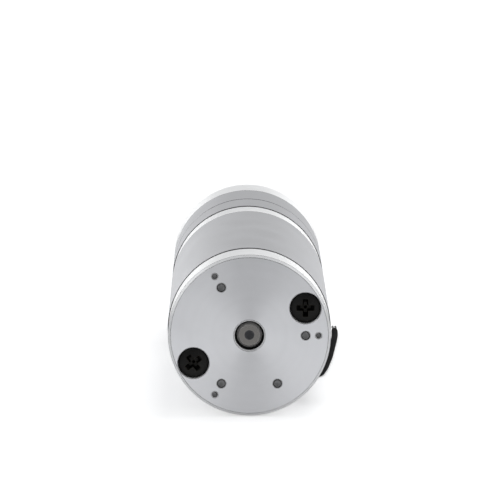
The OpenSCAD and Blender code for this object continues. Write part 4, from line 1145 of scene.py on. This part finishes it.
@dataclass
class ThroughBolts:
    """The two long bolts with black pan heads and cross recesses."""

    circle: float = 19.7 * MM
    angles: tuple[float, ...] = (26.4, 206.4)
    turns: tuple[float, ...] = (0.0, 38.0)
    head_radius: float = 4.75 * MM
    head_height: float = 3.7 * MM
    dome_radius: float = 15.2 * MM
    dome_steps: tuple[float, ...] = (0.35 * MM, 0.6 * MM, 0.8 * MM, 0.9 * MM, 1.0 * MM, 0.6 * MM)
    rim_round: float = 0.3 * MM
    seat_y: float = -161.5 * MM
    end_y: float = -59.5 * MM
    shank_radius: float = 2.45 * MM
    shank_overlap: float = 0.5 * MM
    core_radius: float = 2.15 * MM
    ridge_radius: float = 2.2 * MM
    thread_pitch: float = 0.8 * MM
    thread_length: float = 14.0 * MM
    recess_span: float = 7.3 * MM
    recess_width: float = 2.2 * MM
    recess_depth: float = 2.3 * MM
    recess_taper: float = 0.45
    recess_round: float = 0.16 * MM
    pit_zone: float = 0.1 * MM
    pit_depth: float = 0.9 * MM
    pit_taper: float = 0.15
    cutter_room: float = 1.0 * MM

    def drop(self, radius: float) -> float:
        """Says how far the dome lies below its top at a radius."""
        return self.dome_radius - math.sqrt(self.dome_radius ** 2 - radius ** 2)

    def head(self, x: float, z: float) -> Piece:
        """Makes a domed pan head.

        Args:
            x: Place of its axis.
            z: Place of its axis.

        Returns:
            The head.
        """
        body = self.head_height - self.drop(self.head_radius)
        head = Bench.rod("bolt_head", self.head_radius, body, (x, self.seat_y - body / 2, z), 64)
        Bench.edit(head, "FACE", lambda centre, normal: normal.y < -FACING)
        radius = self.head_radius
        for step in self.dome_steps:
            bpy.ops.mesh.inset(thickness=step)
            rise = self.drop(radius) - self.drop(radius - step)
            bpy.ops.transform.translate(value=(0.0, -rise, 0.0))
            radius -= step
        Bench.clear()
        Bench.round_ring(head, self.seat_y - body, self.rim_round, 3)
        return head

    @staticmethod
    def taper(share: float) -> None:
        """Draws the selected faces in towards the axis."""
        bpy.ops.transform.resize(value=(share, 1.0, share), center_override=(0.0, 0.0, 0.0))
        Bench.clear()

    def recess_cutter(self, x: float, z: float, turn: float) -> Piece:
        """Makes the tapered cross that is cut out of a head.

        Args:
            x: Place of its axis.
            z: Place of its axis.
            turn: Its angle in degrees.

        Returns:
            The cutter.
        """
        half = self.recess_width / 2
        reach = (self.recess_span - self.recess_width) / 2
        Bench.clear()
        bpy.ops.mesh.primitive_cube_add(size=1.0)
        cutter = bpy.context.active_object
        cutter.scale = (self.recess_width, self.recess_depth + self.cutter_room, self.recess_width)
        Bench.settle(cutter)
        for axis, sign in ((0, 1), (0, -1), (2, 1), (2, -1)):
            Bench.edit(cutter, "FACE", lambda centre, normal: abs(centre[axis] - sign * half) < 10 * TOUCH
                       and sign * normal[axis] > FACING and abs(centre[2 - axis]) < half)
            move = [0.0, 0.0, 0.0]
            move[axis] = sign * reach
            bpy.ops.mesh.extrude_region_move(TRANSFORM_OT_translate={"value": tuple(move)})
            Bench.clear()
        Bench.edit(cutter, "FACE", lambda centre, normal: normal.y > FACING)
        self.taper(self.recess_taper)
        Bench.edit(cutter, "FACE", lambda centre, normal: normal.y > FACING
                   and abs(centre.x) < self.pit_zone and abs(centre.z) < self.pit_zone)
        bpy.ops.mesh.extrude_region_move(TRANSFORM_OT_translate={"value": (0.0, self.pit_depth, 0.0)})
        self.taper(self.pit_taper)
        Bench.edit(cutter, "EDGE", lambda a, b: abs(a.y - b.y) > self.recess_depth / 2)
        bpy.ops.mesh.bevel(offset=self.recess_round, segments=2)
        Bench.clear()
        middle_y = self.seat_y - self.head_height + (self.recess_depth - self.cutter_room) / 2
        Bench.move(cutter, (x, middle_y, z), (0.0, -math.radians(turn), 0.0))
        return cutter

    def build(self, shop: FinishShop) -> None:
        """Builds both bolts as one piece.

        Args:
            shop: Gives the finish.
        """
        start_y = self.end_y - self.thread_length
        shank_length = start_y - self.seat_y + self.shank_overlap
        parts = []
        for angle, turn in zip(self.angles, self.turns):
            x, _, z = on_circle(self.circle, angle)
            head = self.head(x, z)
            Bench.subtract(head, self.recess_cutter(x, z, turn))
            parts += [
                head,
                Bench.rod("bolt_shank", self.shank_radius, shank_length,
                          (x, self.seat_y - self.shank_overlap + shank_length / 2, z), 32),
                Bench.rod("bolt_core", self.core_radius, self.thread_length,
                          (x, start_y + self.thread_length / 2, z), 24),
                Bench.thread("bolt_thread", self.ridge_radius, self.thread_pitch,
                             self.thread_length - self.thread_pitch, (x, start_y, z), False)]
        bolts = Bench.join("pan_head_bolts", parts)
        Bench.smooth(bolts, 40.0)
        shop.dress(bolts, "black_oxide")
        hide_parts("through_bolts")
        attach(bolts, "housing")
        LOG.info("through bolts: %d faces", len(bolts.data.polygons))


@dataclass
class GearboxScrews:
    """The four socket head screws that hold the gearbox together."""

    circle: float = 23.5 * MM
    angles: tuple[float, ...] = (0.0, 90.0, 180.0, 270.0)
    head_radius: float = 2.25 * MM
    head_round: float = 0.22 * MM
    knurl_step: float = 7.5
    knurl_margin: float = 0.02 * MM
    knurl_depth: float = 0.07 * MM
    top_y: float = -0.3 * MM
    seat_y: float = -2.8 * MM
    end_y: float = -63.5 * MM
    shank_radius: float = 1.25 * MM
    shank_overlap: float = 0.4 * MM
    core_radius: float = 1.0 * MM
    ridge_radius: float = 1.03 * MM
    socket_radius: float = 1.155 * MM
    socket_depth: float = 1.3 * MM
    thread_pitch: float = 0.45 * MM
    thread_length: float = 7.0 * MM

    def head(self) -> Piece:
        """Makes one knurled head with a hexagon socket.

        Returns:
            The head, on the Y axis.
        """
        middle = (0.0, (self.top_y + self.seat_y) / 2, 0.0)
        head = Bench.rod("socket_head", self.head_radius, self.top_y - self.seat_y, middle, 48)
        Bench.round_ring(head, self.top_y, self.head_round, 2)
        Bench.edit(head, "FACE", lambda centre, normal: abs(normal.y) < 0.1 and round(
            math.degrees(math.atan2(centre.z, centre.x)) / self.knurl_step - 0.5) % 2 == 0)
        bpy.ops.mesh.inset(thickness=self.knurl_margin, depth=-self.knurl_depth, use_individual=True)
        Bench.clear()
        Bench.subtract(head, Bench.rod("hexagon", self.socket_radius, 2 * self.socket_depth,
                                       (0.0, self.top_y, 0.0), 6))
        return head

    def build(self, shop: FinishShop) -> None:
        """Builds the four screws as one piece.

        Args:
            shop: Gives the finish.
        """
        start_y = self.end_y + self.thread_length
        shank_length = self.seat_y - start_y + self.shank_overlap
        first = Bench.join("socket_screw", [
            self.head(),
            Bench.rod("screw_shank", self.shank_radius, shank_length,
                      (0.0, start_y + shank_length / 2, 0.0), 24),
            Bench.rod("screw_core", self.core_radius, self.thread_length,
                      (0.0, self.end_y + self.thread_length / 2, 0.0), 20),
            Bench.thread("screw_thread", self.ridge_radius, self.thread_pitch,
                         self.thread_length - self.thread_pitch,
                         (0.0, self.end_y + self.thread_pitch / 2, 0.0), False, 12)])
        whole = Bench.join("socket_head_screws", Bench.repeat(first, self.circle, self.angles))
        Bench.smooth(whole, 35.0)
        shop.dress(whole, "black_oxide")
        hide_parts("gearbox_screws")
        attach(whole, "housing")
        LOG.info("gearbox screws: %d faces", len(whole.data.polygons))


@dataclass(frozen=True)
class HoleRow:
    """One row of tapped holes.

    Args:
        name: Name of the thread.
        angles: Angles of the holes in degrees.
        circle: Radius of their circle.
        ridge: Radius of the wall that the thread stands on.
        pitch: Pitch of the thread.
        low_y: Where the thread starts.
        length: Length of the thread.
        hole: Radius of the hole.
        mouth: Radius of its countersunk mouth.
        depth: Depth of its wall.
        wall: How far the lining of the wall stands inwards.
        lip: Steps of radius and depth round the mouth, from its edge.
        bevel: Depth of the countersink in front and behind.
        gap: How far the lining's back stays clear of the hole.
        floor: Thickness of the lining at the drill point.
        point: Half the angle of the drill point in degrees.
    """

    name: str
    angles: tuple[float, ...]
    circle: float
    ridge: float
    pitch: float
    low_y: float
    length: float
    hole: float = 0.0
    mouth: float = 0.0
    depth: float = 0.0
    wall: float = 0.0
    lip: tuple[Range, ...] = ((-0.06 * MM, 0.03 * MM), (0.0, 0.012 * MM), (0.0, 0.04 * MM))
    bevel: Range = (0.3 * MM, 0.29 * MM)
    gap: float = 0.005 * MM
    floor: float = 0.2 * MM
    point: float = 70.0

    def threads(self) -> list[Piece]:
        """Winds the thread of each hole."""
        first = Bench.thread(self.name, self.ridge, self.pitch, self.length, (0.0, self.low_y, 0.0), True)
        return Bench.repeat(first, self.circle, self.angles)

    def linings(self) -> list[Piece]:
        """Turns a thin lining just inside the wall of each hole, from its countersunk mouth to its drill
        point, whose near-black finish paints the shade in the hole.

        Returns:
            The linings.
        """
        inside, outside = self.hole - self.wall, self.hole - self.gap
        low = REAR_Y + self.depth
        point = low + inside / math.tan(math.radians(self.point))
        first = Bench.turn(self.name, [
            (0.0, point), (inside, low), (inside, REAR_Y + self.bevel[0]),
            *((self.mouth + out, REAR_Y + along) for out, along in self.lip),
            (outside, REAR_Y + self.bevel[1]), (outside, low + self.floor), (0.0, point + self.floor)], 32)
        return Bench.repeat(first, self.circle, self.angles)


@dataclass
class TappedHoles:
    """Threads and wall linings of the tapped holes of the rear face, and threads of the flange's holes, in a
    near-black finish that paints the shade in the holes.
    """

    rear_m3: HoleRow = HoleRow("m3_thread", (0.0, 120.0, 240.0, 300.0), 17.7 * MM, 1.11 * MM, 0.5 * MM,
                               REAR_Y + 0.45 * MM, 1.0 * MM, 1.25 * MM, 1.5 * MM, 1.7 * MM, 0.15 * MM)
    rear_m2: HoleRow = HoleRow("m2_thread", (0.0, 120.0, 240.0), 21.8 * MM, 0.69 * MM, 0.4 * MM,
                               REAR_Y + 0.4 * MM, 0.8 * MM, 0.8 * MM, 0.9 * MM, 1.2 * MM, 0.12 * MM)
    flange_m5: HoleRow = HoleRow("m5_thread", (45.0, 135.0, 225.0, 315.0), 20.0 * MM, 2.1 * MM, 0.8 * MM,
                                 -9.5 * MM, 8.0 * MM)

    def build(self, shop: FinishShop) -> None:
        """Builds the threads of both ends, and the walls at the rear.

        Args:
            shop: Gives the finish.
        """
        rear = self.rear_m3.linings() + self.rear_m2.linings()
        rear += self.rear_m3.threads() + self.rear_m2.threads()
        for name, parts in (("rear_cap_threads", rear), ("flange_threads", self.flange_m5.threads())):
            threads = Bench.join(name, parts)
            Bench.smooth(threads, 30.0)
            # The near-black finish paints the shade inside the holes.
            shop.dress(threads, "tapped_aluminium")
            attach(threads, "housing")
            LOG.info("%s: %d faces", name, len(threads.data.polygons))


def dress_solids(shop: FinishShop) -> None:
    """Gives every solid of the frame the finish that its record names.

    Args:
        shop: Gives the finishes.
    """
    slots = {row["node"]: row["material_slot"] for row in frame["record"]["subparts"]}
    for name, node in sorted(frame["nodes"].items()):
        shop.dress(node, slots[name])
    LOG.info("dressed %d solids", len(slots))


def main() -> None:
    """Builds the studio and every sub-assembly, then dresses the solids."""
    logging.basicConfig(level=logging.INFO, format="%(name)s: %(message)s")
    bpy.context.scene.view_settings.view_transform = "Standard"
    Studio().build()
    shop = FinishShop(EffectGroups())
    Lead().build(shop)
    Grommet().build(shop)
    ShaftRing().build(shop)
    ShaftCentre().build(shop)
    ThroughBolts().build(shop)
    GearboxScrews().build(shop)
    TappedHoles().build(shop)
    dress_solids(shop)


if __name__ == "__main__":
    main()
